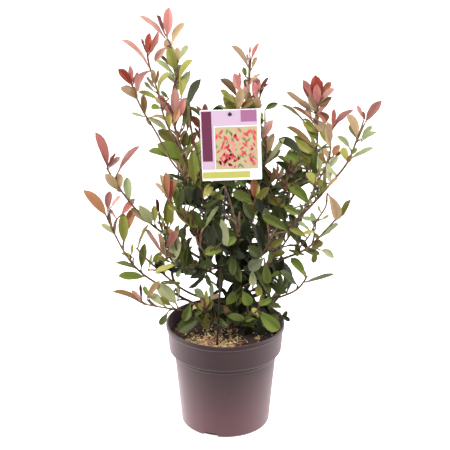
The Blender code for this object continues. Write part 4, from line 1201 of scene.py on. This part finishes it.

# %% [markdown]
# The leaves that draw the outline of the crown in the picture are listed one by one: where a leaf leaves
# its stem, where its tip is, how wide it looks, how far it bows to its left, and its colour. From
# those the script works out the leaf's slant in depth and how far it is turned about its midrib.
# Where a leaf starts a little off its stem, a short spur carries it.

# %% Leaves placed one by one
# Each leaf's colour here is the colour it shows in its place, so painted light and shade are in it: leaves in the
# crown's shade take the dark greens as painted shade, and some lit ones take sage as a painted highlight.
SHOWN = {
    "left_leader": [
        ((167, 38), (169, 7), 8.5, 0, "co"), ((167, 37), (157, 15), 2.5, 0, "ma"), ((166, 39), (139, 16), 4.5, -3, "sa"),
        ((171, 48), (185, 23), 4, 4, "ta"), ((168, 52), (166, 39), 6, 0, "ta"), ((168, 46), (155, 62), 5.5, -2, "sa"),
        ((175, 70), (167, 47), 9, 0, "ol"), ((176, 69), (177, 47), 7, 0, "ta"), ((178, 62), (188, 45), 4.5, 1, "sg"),
        ((179, 82), (193, 60), 6, 4, "li"), ((181, 99), (190, 71), 7, 2, "sg"), ((181, 99), (182, 76), 6, 0, "li"),
        ((175, 77), (156, 61), 3, -2, "sg"), ((174, 68), (160, 55), 3, 0, "mo"), ((178, 86), (166, 73), 5, -1, "sg"),
        ((176, 118), (175, 88), 7, 0, "sa"), ((175, 117), (158, 95), 6.5, 0, "co"), ((178, 120), (185, 97), 8, 1, "co"),
        ((184, 128), (188, 100), 7, 0, "mo"), ((187, 131), (191, 109), 6, 0, "gr"), ((183, 130), (186, 111), 4, 0, "mo"),
        ((170, 130), (168, 110), 6, 0, "li"), ((171, 118), (166, 102), 4, -1, "sa"), ((174, 124), (180, 108), 5, 1, "or"),
        ((175, 130), (172, 114), 5, 0, "ta"), ((160, 98), (172, 73), 5, 7, "ol"),
    ],
    "left_fork": [
        ((147, 54), (150, 33), 5, 0.5, "re"), ((148, 56), (158, 31), 6, -0.5, "co"), ((147, 53), (141, 38), 2.5, 0, "ma"),
        ((150, 69), (121, 40), 4, -5, "sa"), ((154, 70), (138, 92), 6, -7, "du"), ((155, 86), (152, 69), 4.5, 0, "ta"),
        ((156, 89), (146, 77), 3, 0, "fa"), ((155, 92), (144, 82), 3, 0, "mi"), ((159, 100), (138, 92), 4.5, -2, "ol"),
        ((164, 109), (151, 107), 6, -1, "bi"), ((169, 99), (161, 91), 3.5, 0, "le"), ((154, 84), (159, 70), 3, 0, "br"),
        ((161, 104), (155, 97), 4, 0, "ta"),
    ],
    "left_upper": [
        ((132, 86), (118, 69), 8.5, -1, "re"), ((133, 86), (130, 65), 5, 0, "ro"), ((134, 85), (138, 72), 3, 0, "du"),
        ((137, 101), (121, 87), 8.5, -2, "fa"), ((137, 101), (132, 86), 6, 0, "br"), ((145, 116), (143, 94), 7, 0, "br"),
        ((146, 117), (131, 113), 3, 0, "sg"), ((147, 117), (167, 130), 6, 1, "sg"), ((147, 118), (168, 123), 3.5, 5, "ta"),
        ((152, 128), (146, 118), 3, 0, "ta"),
    ],
    "left_shoulder": [
        ((181, 147), (158, 130), 12, -1, "mo"), ((184, 160), (157, 144), 14, -2, "bi"), ((184, 166), (148, 151), 5, -5, "bi"),
        ((184, 150), (185, 130), 9, 0, "mo"), ((187, 149), (196, 132), 7, 1, "bi"), ((186, 172), (181, 150), 7, 0, "ol"),
        ((188, 182), (168, 174), 4, -1, "de"), ((185, 178), (181, 163), 5, 0, "ol"), ((190, 176), (186, 158), 6, 0, "ol"),
        ((181, 138), (175, 130), 4, 0, "or"),
    ],
    "left_inner": [
        ((188, 108), (201, 79), 6.5, 3, "de"), ((195, 186), (192, 150), 9, 0, "ol"), ((197, 176), (199, 143), 9, 0, "bi"),
        ((200, 196), (198, 165), 9, 0, "bi"), ((192, 132), (194, 146), 3, 0, "ma"), ((205, 188), (202, 172), 7, 0, "ol"),
    ],
    "card_left": [
        ((206, 118), (205, 103), 6, 0, "ro"), ((204, 117), (196, 106), 4, 0, "ro"), ((226, 112), (213, 109), 2.5, -2, "da"),
        ((202, 130), (190, 116), 7, -1, "ru"), ((201, 143), (194, 127), 3.5, -1, "ru"), ((200, 136), (201, 122), 4, 0, "ru"),
    ],
    "left_long": [
        ((107, 169), (95, 132), 8, -3, "ro"), ((108, 167), (116, 153), 3, 1, "du"), ((109, 168), (120, 157), 4.5, 1, "sa"),
        ((117, 174), (140, 146), 5, 3, "du"), ((118, 191), (105, 174), 8, -1, "ta"), ((119, 192), (118, 173), 9, 0, "ta"),
        ((130, 202), (127, 177), 7.5, 1, "mi"), ((129, 203), (135, 199), 3, 0, "br"), ((152, 225), (139, 205), 10, -1, "sg"),
        ((155, 223), (154, 205), 6, 0, "li"), ((160, 214), (156, 199), 3, 0, "ma"), ((165, 224), (158, 213), 3, 0, "sg"),
        ((168, 228), (167, 199), 8, 0, "ol"), ((168, 227), (157, 222), 3, 0, "ol"), ((152, 224), (131, 208), 5.5, 0, "ta"),
        ((170, 226), (172, 202), 6, 0, "ol"), ((180, 246), (186, 228), 5, 0, "gr"),
    ],
    "left_low": [
        ((108, 216), (83, 190), 10, -2, "or"), ((108, 212), (110, 191), 7, 1, "du"), ((110, 208), (121, 196), 3, 1, "sa"),
        ((117, 219), (109, 208), 2.5, 0, "sa"), ((116, 235), (101, 224), 5, -1, "sg"), ((124, 244), (123, 212), 10, 0, "ol"),
        ((120, 216), (135, 199), 5, 1, "ro"), ((127, 233), (134, 208), 8, 1, "or"), ((131, 255), (133, 244), 3, 0, "ol"),
        ((134, 259), (121, 253), 4, -1, "ol"), ((137, 268), (115, 263), 5, -2, "le"), ((146, 278), (118, 276), 7, -1, "bi"),
        ((141, 269), (145, 243), 8, 0, "le"), ((177, 301), (179, 283), 3, 0, "sg"), ((176, 288), (172, 295), 3, 0, "gr"),
    ],
    "left_low_inner": [
        ((138, 248), (149, 224), 4, 2, "mo"), ((148, 271), (152, 254), 2.5, 0, "bi"), ((153, 267), (161, 252), 7, 1, "ol"),
        ((164, 273), (156, 262), 9, 0, "da"), ((173, 263), (157, 259), 4, -1, "ol"), ((161, 283), (181, 284), 2.5, 1, "le"),
        ((172, 268), (155, 273), 4, 0, "li"), ((152, 263), (158, 253), 4, 0, "bi"),
    ],
    "left_lowest": [
        ((143, 306), (112, 292), 5.5, -4, "br"), ((142, 304), (131, 290), 4, -1, "sa"), ((142, 301), (140, 284), 2.5, 0, "ma"),
        ((177, 305), (157, 283), 13, -1, "sg"), ((147, 298), (160, 281), 6, 1, "br"), ((168, 306), (149, 294), 8, -1, "sg"),
        ((149, 298), (144, 286), 5, 0, "bi"), ((168, 312), (160, 325), 6, 0, "le"), ((172, 306), (160, 297), 5, 0, "ol"),
    ],
    "left_pink": [
        ((164, 255), (145, 229), 4.5, -1, "sa"), ((167, 258), (158, 233), 6, 0, "ta"), ((165, 249), (179, 231), 6, 1, "du"),
        ((167, 259), (162, 238), 3, 0, "sa"), ((174, 264), (175, 234), 12, 0, "sg"), ((179, 263), (155, 272), 4, -1, "li"),
        ((181, 268), (177, 277), 5, 0, "mi"), ((184, 266), (184, 237), 8, 0, "le"), ((178, 262), (193, 246), 4, 1, "mi"),
        ((186, 267), (181, 250), 7, 0, "le"), ((176, 240), (168, 228), 6, 0, "or"), ((188, 268), (187, 248), 8, 0, "gr"),
        ((190, 262), (189, 238), 4, 1, "de"), ((186, 240), (178, 232), 5, 0, "gr"),
    ],
    "left_mid": [
        ((168, 201), (160, 174), 6, -1, "ta"), ((169, 201), (165, 172), 6, 0, "or"), ((171, 201), (176, 179), 6, 1, "br"),
        ((167, 197), (155, 183), 4, -1, "ta"), ((170, 204), (170, 180), 4, 0, "re"), ((199, 229), (176, 205), 8, 2, "ol"),
        ((196, 229), (175, 210), 7, -1, "ol"), ((178, 208), (176, 186), 7, 0, "bi"), ((178, 210), (183, 190), 7, 0, "gr"),
        ((203, 228), (190, 210), 9, 0, "le"), ((186, 204), (180, 188), 7, 0, "gr"), ((190, 206), (189, 186), 9, 0, "de"),
        ((206, 243), (190, 226), 8, 0, "de"), ((204, 240), (200, 224), 8, 0, "gr"), ((203, 250), (199, 236), 9, 0, "de"),
        ((196, 206), (197, 186), 8, 0, "da"), ((176, 212), (168, 205), 6, 0, "ol"),
    ],
    "middle": [
        ((248, 67), (231, 46), 6, -3, "fa"), ((251, 60), (259, 43), 4.5, 1, "ro"), ((250, 57), (250, 46), 2, 0, "sa"),
        ((252, 69), (257, 57), 3.5, 1, "ta"), ((249, 63), (247, 54), 2, 0, "sa"), ((246, 77), (243, 67), 4.5, 0, "bi"),
        ((251, 84), (261, 74), 3.5, 1, "ta"), ((243, 97), (255, 77), 5.5, 3, "co"), ((254, 104), (257, 77), 7.5, 0, "co"),
        ((259, 100), (269, 77), 4.5, 2, "ma"), ((261, 90), (269, 84), 2, 1, "ta"), ((256, 112), (258, 96), 8, 0, "ta"),
        ((249, 92), (245, 79), 5, 0, "gr"), ((246, 106), (248, 90), 6, 0, "ta"), ((250, 111), (254, 100), 6, 0, "br"),
        ((257, 100), (254, 82), 5, 0, "co"),
    ],
    "middle_twin": [
        ((240, 92), (234, 73), 6.5, 0, "co"), ((241, 90), (239, 72), 3, 0, "ro"), ((235, 97), (220, 79), 7, -3, "um"),
        ((237, 103), (220, 90), 4, -1, "ol"), ((237, 112), (227, 101), 6, 0, "mo"), ((238, 110), (242, 88), 7, 0, "ta"),
        ((240, 110), (254, 99), 6, 1, "br"), ((247, 113), (253, 101), 6, 0, "le"), ((243, 100), (249, 85), 4, 0, "fa"),
        ((236, 108), (232, 96), 5, 0, "ol"), ((237, 100), (228, 94), 4, 0, "ta"),
    ],
    "card_right": [
        ((265, 110), (278, 103), 6, 1, "le"), ((262, 140), (273, 120), 7.5, 1, "sa"), ((262, 159), (274, 133), 8, 1, "ta"),
        ((262, 166), (285, 138), 5, 0, "sg"), ((265, 166), (281, 150), 4.5, 1, "ta"), ((264, 165), (272, 177), 2.5, 0, "br"),
        ((263, 150), (266, 136), 5, 0, "or"), ((268, 186), (264, 168), 6, 0, "mo"), ((270, 184), (276, 170), 5, 0, "br"),
    ],
    "centre_bud": [
        ((254, 198), (253, 178), 5, 0, "ru"), ((256, 198), (259, 184), 4, 0, "li"), ((254, 204), (232, 192), 9, -1, "le"),
        ((254, 221), (243, 201), 8, 0, "gr"), ((254, 218), (262, 190), 4.5, 1, "ol"), ((257, 202), (269, 187), 7, 0, "mo"),
        ((253, 218), (254, 202), 7, 0, "mo"), ((240, 200), (227, 213), 6, -1, "de"), ((252, 204), (240, 196), 6, 0, "ol"),
        ((255, 212), (263, 200), 6, 0, "de"), ((246, 186), (240, 180), 6, 0, "bi"),
    ],
    "right_rosette": [
        ((316, 101), (315, 75), 10, 0, "re"), ((317, 101), (321, 80), 6, 0, "re"), ((313, 105), (303, 80), 6, -1, "ro"),
        ((313, 103), (304, 86), 4, -1, "co"), ((315, 104), (311, 83), 7, 0, "co"), ((317, 105), (317, 84), 8, 0, "co"),
        ((319, 99), (331, 82), 5, 1, "ru"), ((319, 103), (335, 89), 6, 2, "sa"), ((319, 108), (332, 97), 6, 1, "br"),
        ((319, 115), (330, 101), 5, 1, "sa"), ((316, 112), (308, 96), 6, 0, "fa"), ((314, 113), (286, 92), 5, -1, "fa"),
        ((314, 111), (299, 101), 4.5, -1, "fa"), ((306, 124), (281, 105), 3.5, -3, "mo"), ((315, 124), (292, 107), 5, -3, "ru"),
        ((313, 110), (327, 122), 9, 2, "ru"), ((331, 143), (313, 120), 9, -3, "fa"), ((317, 135), (303, 122), 7, -1, "ol"),
        ((316, 150), (286, 127), 6, -3, "br"), ((316, 153), (294, 136), 7, -1, "ol"), ((316, 157), (296, 141), 7, -1, "ol"),
        ((309, 171), (305, 148), 9, 0, "ol"), ((316, 181), (314, 150), 9, 0, "le"), ((320, 175), (320, 150), 5, 0, "sg"),
        ((315, 128), (318, 112), 5, 0, "ta"), ((315, 140), (309, 128), 5, 0, "bi"), ((312, 118), (306, 108), 5, 0, "ta"),
        ((311, 160), (302, 152), 5, 0, "ol"),
    ],
    "right_inner": [
        ((303, 159), (278, 139), 6, -5, "de"), ((301, 167), (287, 153), 9, -1, "bi"), ((301, 169), (277, 156), 4, -1, "bi"),
        ((302, 179), (275, 162), 5, -2, "de"), ((277, 179), (273, 167), 4, 0, "fa"), ((278, 179), (277, 163), 4, 0, "or"),
        ((279, 178), (283, 169), 4, 0, "fa"), ((290, 196), (285, 174), 8, 0, "mo"), ((300, 188), (298, 166), 9, 0, "gr"),
        ((309, 206), (287, 183), 9, -3, "bi"), ((290, 206), (268, 199), 10, 0, "ol"), ((285, 196), (266, 187), 8, 0, "gr"),
        ((300, 215), (284, 206), 8, 0, "bi"), ((268, 243), (258, 213), 9, 0, "le"), ((271, 220), (262, 208), 8, 0, "mi"),
        ((278, 222), (274, 205), 7, 0, "gr"), ((286, 222), (280, 208), 7, 0, "gr"), ((283, 240), (272, 226), 8, 0, "gr"),
        ((274, 248), (273, 230), 6, 0, "mo"), ((295, 226), (290, 214), 6, 0, "gr"),
    ],
    "right_fork": [
        ((332, 128), (335, 109), 4, 0, "ro"), ((333, 132), (354, 110), 4.5, 4, "du"), ((331, 149), (327, 122), 8, 0, "ta"),
        ((329, 146), (320, 131), 5, 0, "ol"), ((333, 157), (340, 145), 6.5, 1, "or"), ((334, 158), (342, 151), 3.5, 0, "ru"),
        ((329, 169), (338, 156), 6, 1, "sg"), ((326, 166), (319, 153), 5, 0, "br"), ((331, 184), (327, 163), 6, 0, "sg"),
        ((328, 166), (337, 177), 4, 0, "sg"), ((319, 187), (306, 173), 8, -1, "li"), ((323, 193), (318, 180), 4, 0, "ol"),
        ((330, 160), (324, 148), 5, 0, "ta"),
    ],
    "right_long": [
        ((365, 123), (382, 101), 6, 2, "du"), ((364, 119), (357, 105), 3.5, 0, "sa"), ((365, 119), (363, 111), 3, 0, "ro"),
        ((358, 141), (348, 114), 8, -3, "ta"), ((357, 141), (350, 124), 7, -1, "mo"), ((361, 140), (372, 126), 4.5, 1, "mi"),
        ((361, 142), (377, 132), 4, 2, "mi"), ((350, 149), (337, 136), 5, -2, "mi"), ((346, 162), (343, 147), 8, 0, "li"),
        ((351, 156), (357, 148), 4, 0, "ol"), ((351, 160), (374, 148), 5, 1, "mi"), ((328, 190), (338, 178), 4, 1, "ta"),
        ((345, 164), (352, 155), 5, 0, "br"),
    ],
    "right_mid": [
        ((340, 218), (351, 200), 6, 1, "mo"), ((318, 237), (339, 224), 5, 1, "mi"), ((311, 249), (323, 242), 8, 1, "mo"),
        ((316, 250), (313, 263), 6, 0, "mo"), ((320, 250), (334, 258), 7, 2, "sg"), ((303, 248), (320, 254), 6, 0, "le"),
        ((304, 255), (288, 250), 4, 0, "le"), ((313, 231), (319, 239), 4, 0, "li"), ((309, 251), (301, 239), 5, 0, "de"),
    ],
    "right_upturn": [
        ((327, 193), (337, 220), 9, 3, "ta"), ((316, 229), (311, 212), 5, 0, "mi"), ((321, 220), (329, 215), 3, 0, "li"),
        ((321, 213), (317, 205), 2.5, 0, "mi"), ((309, 240), (289, 229), 5.5, -2, "ol"), ((312, 232), (298, 222), 3, -1, "mi"),
        ((298, 256), (297, 243), 6, 0, "le"), ((316, 219), (302, 218), 4, 0, "mi"), ((315, 231), (303, 233), 4, 0, "li"),
    ],
    "right_low": [
        ((304, 278), (291, 258), 9, -2, "bi"), ((303, 282), (335, 274), 4, 1, "as"), ((297, 285), (280, 271), 7, -1, "gr"),
        ((268, 284), (286, 293), 10, 1, "gr"), ((307, 277), (303, 270), 3, 0, "ol"), ((270, 277), (280, 272), 5, 0, "bi"),
        ((262, 302), (280, 306), 5, 0, "le"),
    ],
    "right_base": [
        ((275, 272), (283, 257), 9, 0, "de"), ((268, 257), (285, 252), 7, 0, "mo"), ((270, 282), (270, 266), 7, 0, "da"),
        ((262, 292), (268, 304), 7, 0, "da"),
    ],
    "front_mid_right": [
        ((264, 258), (249, 270), 12, 0, "as"), ((265, 262), (268, 284), 9, 0, "le"), ((252, 269), (254, 286), 8, 0, "sg"),
        ((258, 283), (259, 296), 7, 0, "ol"), ((262, 258), (248, 246), 9, 0, "gr"), ((254, 276), (244, 266), 7, 0, "de"),
    ],
    "front_low_right": [
        ((258, 310), (279, 330), 14, 0, "bi"), ((258, 308), (263, 294), 4, 0, "ol"), ((258, 307), (272, 299), 6, 1, "bi"),
        ((242, 290), (250, 305), 10, 0, "bi"), ((233, 317), (241, 338), 7, 0, "sg"), ((232, 322), (228, 338), 6, 0, "de"),
        ((250, 322), (247, 340), 9, 0, "de"), ((257, 316), (262, 335), 8, 0, "da"), ((240, 318), (246, 301), 10, 0, "da"),
    ],
    "front_low_left": [
        ((203, 316), (178, 331), 12, -1, "gr"), ((191, 303), (184, 321), 9, 0, "le"), ((211, 303), (212, 283), 4.5, 0, "mi"),
        ((203, 307), (201, 293), 4, 0, "or"), ((208, 301), (221, 295), 4, 1, "fa"), ((207, 313), (206, 329), 7, 0, "ol"),
        ((205, 312), (198, 303), 5, 0, "ol"), ((208, 312), (212, 298), 6, 0, "ol"), ((205, 298), (194, 289), 8, 0, "mi"),
        ((207, 306), (207, 290), 5, 0, "ol"),
    ],
    "front_pair": [
        ((226, 248), (221, 219), 9, 0, "sg"), ((225, 249), (203, 253), 9, -1, "bi"), ((225, 248), (236, 237), 7, 1, "bi"),
    ],
    "front_left": [
        ((204, 228), (219, 206), 4.5, 1, "le"), ((208, 263), (190, 278), 7, 2, "de"), ((208, 268), (188, 288), 3.5, 3, "de"),
        ((206, 272), (210, 286), 5, 0, "gr"), ((208, 255), (211, 269), 7, 0, "gr"), ((229, 270), (215, 276), 9, 0, "le"),
        ((214, 247), (208, 226), 9, 0, "de"), ((222, 243), (213, 222), 9, 0, "de"), ((222, 270), (219, 290), 6, 0, "de"),
        ((206, 256), (199, 244), 8, 0, "da"), ((208, 260), (202, 268), 8, 0, "gr"),
    ],
    "front_middle": [
        ((240, 236), (232, 214), 11, 0, "de"), ((243, 240), (248, 220), 10, 0, "da"), ((236, 246), (229, 232), 9, 0, "le"),
        ((238, 252), (252, 240), 9, 0, "da"), ((222, 214), (209, 196), 9, 0, "da"), ((224, 186), (203, 206), 6, 3, "gr"),
    ],
    "front_right": [
        ((288, 233), (262, 216), 8, -3, "le"), ((262, 250), (256, 224), 10, 0, "da"), ((270, 248), (284, 238), 7, 0, "mo"),
        ((262, 214), (257, 198), 8, 0, "da"),
    ],
    "right_lowest": [((280, 317), (290, 321), 5, 0, "da"), ((281, 321), (287, 311), 5, 0, "gr"), ((270, 315), (262, 304), 6, 0, "da")],
}
LEAF_LENGTH = 0.056
LEAF_WIDTH = 0.0205
PIXEL = 0.0019
DRAWN_WIDER = 1.14
SPUR_FROM = 2.5
SPUR_RADIUS = 0.0015
leaves = {name: [] for name in SHOOTS}
reach = {name: 0.0 for name in SHOOTS}
twigs = []
spur_ends = []


def add_leaf(name, corners, colour):
    """Keep a leaf and take its room."""
    room.take(leaf_spots(corners))
    leaves[name].append((corners, colour))


def stem_foot(name, foot):
    """Where a leaf that is seen at a pixel starts: on its stem, or at the end of a spur."""
    shoot = plan[name]
    seen = pixels_of(shoot["path"])
    along = lengths(shoot["path"])
    leafy = along >= shoot["bare_end"] * 0.55
    away = np.linalg.norm(seen - np.array(foot), axis=1) + np.where(leafy, 0, 1000)
    closest = int(np.argmin(away))
    on_stem = shoot["path"][closest]
    reach[name] = max(reach[name], along[closest])
    if away[closest] < SPUR_FROM:
        return on_stem
    end = np.array(seen_at(foot, on_stem[1]))
    if all(np.linalg.norm(end - other) > 2 * PIXEL for other in spur_ends):
        spur_ends.append(end)
        gap = np.linalg.norm(end - on_stem)
        back = point_at(shoot["path"], max(0.002, along[closest] - gap * 1.2))[0]
        share = np.linspace(0, 1, 8)[:, None]
        path = (1 - share) ** 2 * back + 2 * share * (1 - share) * (on_stem * 0.4 + end * 0.6) + share ** 2 * end
        twigs.append((path, np.linspace(SPUR_RADIUS * 1.5, SPUR_RADIUS * 0.8, len(path))))
    return end


def turn_for(wide, half, fold):
    """How far a folded leaf is turned about its midrib to look so wide, and how far its middle moves."""
    turns = np.radians(np.arange(0, 88, 2.0))
    out, lifted = half * math.cos(fold) * np.cos(turns), half * math.sin(fold) * np.sin(turns)
    low, high = np.minimum(0, lifted - out), lifted + out
    best = int(np.argmin(np.abs(high - low - wide)))
    return turns[best], (high[best] + low[best]) / 2


def shown_leaf(name, foot, tip, wide, bow, chance):
    """Work out a leaf from where it starts and ends in the picture, and how it looks there."""
    root = stem_foot(name, foot)
    drawn = np.linalg.norm(np.array(seen_at(tip, root[1])) - root)
    most = math.sqrt(max(0.0, (LEAF_LENGTH * 1.02) ** 2 - drawn ** 2))
    depth = min(most, drawn * chance.uniform(0.1, 0.5)) * chance.choice((-1, 1))
    end = np.array(seen_at(tip, root[1] + depth))
    length = np.linalg.norm(end - root)
    way = (end - root) / length
    width = max(LEAF_WIDTH * min(1.1, length / LEAF_LENGTH), wide * PIXEL * DRAWN_WIDER)
    facing = np.array(camera_place) - root
    facing -= way * np.dot(facing, way)
    facing /= np.linalg.norm(facing)
    left = np.cross(facing, way)
    lean = math.copysign(1, bow) if bow else math.copysign(1, left[2])
    fold = chance.uniform(0.2, 0.6)
    roll, aside = turn_for(wide * PIXEL * DRAWN_WIDER, width / 2, fold)
    up = facing * math.cos(roll) + left * math.sin(roll) * lean
    bend = chance.uniform(0.2, 0.5)
    spare = bow * PIXEL - lean * (length * bend / 8 * math.sin(roll) + aside)
    ahead = way * math.cos(bend / 2) + up * math.sin(bend / 2)
    up = up * math.cos(bend / 2) - way * math.sin(bend / 2)
    return leaf_corners(root, ahead, up, length * 1.01, width, bend, chance, fold, left * spare)


for name, shown in SHOWN.items():
    chance = random.Random("shown " + name)
    for foot, tip, wide, bowed, letters in shown:
        corners = shown_leaf(name, foot, tip, wide, bowed, chance)
        add_leaf(name, corners, LETTERS[letters])
        room.keep_in_view(leaf_spots(corners))
print("leaves placed by eye", sum(len(shown) for shown in leaves.values()), "spurs", len(spur_ends))

# %% [markdown]
# The rule of growth is the rule of the solids, with finer steps. Each leaf sits a golden angle
# round its stem from the one before. Low leaves stand out wide and high ones close up, and the tip
# carries a rosette of small upright leaves. Here and there a side twig bears a few leaves of its own.

# %% Leaves that follow the rule
GOLDEN = math.radians(137.5)
OPEN_LOW = math.radians(72)
OPEN_HIGH = math.radians(34)
MORE_LEAVES = 2.6
ROSETTE_LEAVES = 5
ROSETTE_OPEN = (0.10, 0.75)
ROSETTE_STEP = 0.0032
ROSETTE_SIZE = (0.62, 0.88)
TWIG_LENGTH = 0.032
TWIG_RADIUS = 0.0012
TWIG_LEAVES = 5
TWIG_OPEN = (0.25, 1.05)
TWIG_STEP = 0.0048
TWIG_EVERY = 4
TRIES = ((0.0, 1.0), (0.6, 1.0), (-0.6, 1.0), (0.3, 0.82), (-0.3, 0.82), (1.3, 0.8), (-1.3, 0.8), (2.2, 0.7))
LIGHTWARD = 0.4
SLIMMER = 0.25
STEEPER = 0.30


def across_path(way):
    """Two directions across a path."""
    side = np.cross(way, LEAN_AXIS)
    side /= np.linalg.norm(side)
    return side, np.cross(way, side)


def grown_leaf(name, root, way, angle, opening, size, colour, chance):
    """Find the first turn and size at which a leaf has room, and keep it."""
    side, third = across_path(way)
    far = np.clip(math.dist(root, AXIS) / INNER_REACH - 0.5, 0, 1)
    slim = 1 - SLIMMER * far
    opening *= 1 - STEEPER * far
    for turn, scale in TRIES:
        outward = side * math.cos(angle + turn) + third * math.sin(angle + turn)
        ahead = way * math.cos(opening) + outward * math.sin(opening)
        up = way * math.sin(opening) - outward * math.cos(opening) + np.array((0, 0, LIGHTWARD))
        up -= ahead * np.dot(up, ahead)
        up /= np.linalg.norm(up)
        corners = leaf_corners(
            root, ahead, up, LEAF_LENGTH * size * scale, LEAF_WIDTH * (0.35 + 0.65 * size) * scale * slim,
            chance.uniform(0.35, 1.0), chance, chance.uniform(0.25, 0.75))
        if room.fits(leaf_spots(corners)):
            add_leaf(name, corners, colour)
            return True
    return False


def grow_twig(name, root, way, angle, rank, chance):
    """A short side twig that turns up, with a small rosette of its own, if any leaf finds room."""
    side, third = across_path(way)
    outward = side * math.cos(angle) + third * math.sin(angle)
    ahead = way * 0.55 + outward * 0.85
    ahead /= np.linalg.norm(ahead)
    length = TWIG_LENGTH * chance.uniform(0.75, 1.35)
    path = bow(root, root + ahead * length / 2, root + ahead * length + np.array((0, 0, length * 0.3)), chance.random())
    if in_the_open(pixels_of(path)):
        return
    total = lengths(path)[-1]
    turn = chance.uniform(0, math.tau)
    grown = 0
    for number in range(TWIG_LEAVES):
        spot, forward = point_at(path, total - 0.001 - number * TWIG_STEP)
        opening = np.interp(number / (TWIG_LEAVES - 1), (0, 1), TWIG_OPEN)
        size = chance.uniform(0.66, 0.92)
        shade_name = colour_of(name, rank + number // 2, spot, chance)
        grown += grown_leaf(name, spot, forward, turn, opening, size, shade_name, chance)
        turn += GOLDEN
    if grown:
        twigs.append((path, np.linspace(TWIG_RADIUS * 1.3, TWIG_RADIUS * 0.7, len(path))))


def grow_shoot(name):
    """Grow the leafy part of one shoot."""
    shoot = plan[name]
    chance = random.Random(name)
    start = shoot["bare_end"]
    span = shoot["length"] - start
    count = round(shoot["leaves"] * MORE_LEAVES)
    angle = chance.uniform(0, math.tau)
    for number in range(ROSETTE_LEAVES if name not in SHOWN else 0):
        share = number / (ROSETTE_LEAVES - 1)
        distance = shoot["length"] - 0.001 - number * ROSETTE_STEP
        root, way = point_at(shoot["path"], distance)
        opening = np.interp(share, (0, 1), ROSETTE_OPEN)
        size = np.interp(share, (0, 1), ROSETTE_SIZE)
        if grown_leaf(name, root, way, angle, opening, size, colour_of(name, number, root, chance), chance):
            reach[name] = max(reach[name], distance)
        angle += GOLDEN
    first = min(0.010, span * 0.10)
    for number in range(count):
        share = (number + 0.5 + chance.uniform(-0.2, 0.2)) / count
        distance = start + first + (span - first - 0.012) * share
        root, way = point_at(shoot["path"], distance)
        rank = ROSETTE_LEAVES + int((count - number) * 0.62)
        opening = OPEN_LOW + (OPEN_HIGH - OPEN_LOW) * share + chance.uniform(-0.2, 0.2)
        size = 0.90 + 0.14 * math.sin(math.pi * share) + chance.uniform(-0.12, 0.08)
        if number % TWIG_EVERY == 2 and share < 0.72 and span > 0.07:
            grow_twig(name, root, way, angle, rank, chance)
            reach[name] = max(reach[name], distance)
        elif grown_leaf(name, root, way, angle, opening, size, colour_of(name, rank, root, chance), chance):
            reach[name] = max(reach[name], distance)
        angle += GOLDEN + chance.uniform(-0.2, 0.2)


for name in SHOOTS:
    grow_shoot(name)
print("leaves", sum(len(grown) for grown in leaves.values()), "twigs", len(twigs))

# %% [markdown]
# The leaves of a shoot are joined into one piece, which replaces the shoot's solid. The meshes are
# built from arrays, since every leaf has the same faces. The green stems and twigs are one piece.

# %% Join the leaves and the stems
STEM_END = 0.003


def foliage(name, grown):
    """Join the leaves of one shoot, with a finish for each colour that it uses."""
    used = sorted({part for _, colour in grown for part in (colour, UNDER_OF[colour], STALK_OF[UNDER_OF[colour]])})
    corners = np.concatenate([corners for corners, _ in grown])
    count = len(leaf_places)
    faces = np.concatenate([leaf_faces + number * count for number in range(len(grown))])
    marks = np.concatenate([
        np.choose(leaf_sides, [used.index(part) for part in (colour, UNDER_OF[colour], STALK_OF[UNDER_OF[colour]])])
        for _, colour in grown
    ])
    mesh = bpy.data.meshes.new("foliage_" + name)
    mesh.from_pydata(corners.tolist(), [], faces.tolist())
    mesh.polygons.foreach_set("material_index", marks.astype(np.int32))
    layer = mesh.uv_layers.new(name="leaf")
    spots = leaf_places[:, :2][faces.ravel() % count]
    layer.data.foreach_set("uv", spots.ravel())
    mesh.update()
    mesh.shade_smooth()
    mesh.set_sharp_from_angle(angle=math.radians(35))
    made = bpy.data.objects.new("foliage_" + name, mesh)
    scene.collection.objects.link(made)
    return dress(made, ["leaves_" + name], [finishes[colour] for colour in used])


faces_total = 0
for name, grown in leaves.items():
    faces_total += len(foliage(name, grown).data.polygons)
stems = []
for name in SHOOTS:
    shoot = plan[name]
    start = max(0, shoot["bare_end"] - 0.004)
    end = min(shoot["length"], max(reach[name], start + 0.01) + STEM_END)
    points = fine_path(shoot["path"], start, end, TUBE_STEP)
    at_end = shoot["end_radius"] + (STEM_TIP_RADIUS - shoot["end_radius"]) * (end - start) / (shoot["length"] - start)
    stems.append((points, np.linspace(shoot["end_radius"], at_end, len(points))))
piece("young_stems", stem_tubes("young_stems", stems + twigs, 8), stem_finish, (), 60.0)
print("leaf faces", faces_total)

# %% [markdown]
# The floor is a plain pale sheet that belongs to the studio, not to the plant.

# %% Floor and board
BOARD_RADIUS = 0.26
BOARD_SHIFT = -0.06
BOARD_GLOW = 0.9
floor_bm = bmesh.new()
bmesh.ops.create_grid(floor_bm, x_segments=1, y_segments=1, size=20.0)
floor_mesh = bpy.data.meshes.new("floor")
floor_bm.to_mesh(floor_mesh)
floor_bm.free()
floor = bpy.data.objects.new("floor", floor_mesh)
scene.collection.objects.link(floor)
floor_finish = Finish("floor_paper", (0.80, 0.80, 0.80), 0.9, emission_color=(1, 1, 1, 1), emission_strength=0.75)
floor_mesh.materials.append(floor_finish.material)
floor.visible_diffuse = False
floor.visible_glossy = False
board_bm = bmesh.new()
bmesh.ops.create_circle(board_bm, cap_ends=True, segments=48, radius=BOARD_RADIUS)
board_mesh = bpy.data.meshes.new("board")
board_bm.to_mesh(board_mesh)
board_bm.free()
board = bpy.data.objects.new("board", board_mesh)
board.location = (0, BOARD_SHIFT, -0.002)
scene.collection.objects.link(board)
board_finish = Finish("white_board", (0.8, 0.8, 0.8), 0.9, emission_color=(1, 1, 1, 1), emission_strength=BOARD_GLOW)
board_mesh.materials.append(board_finish.material)
board.visible_camera = False
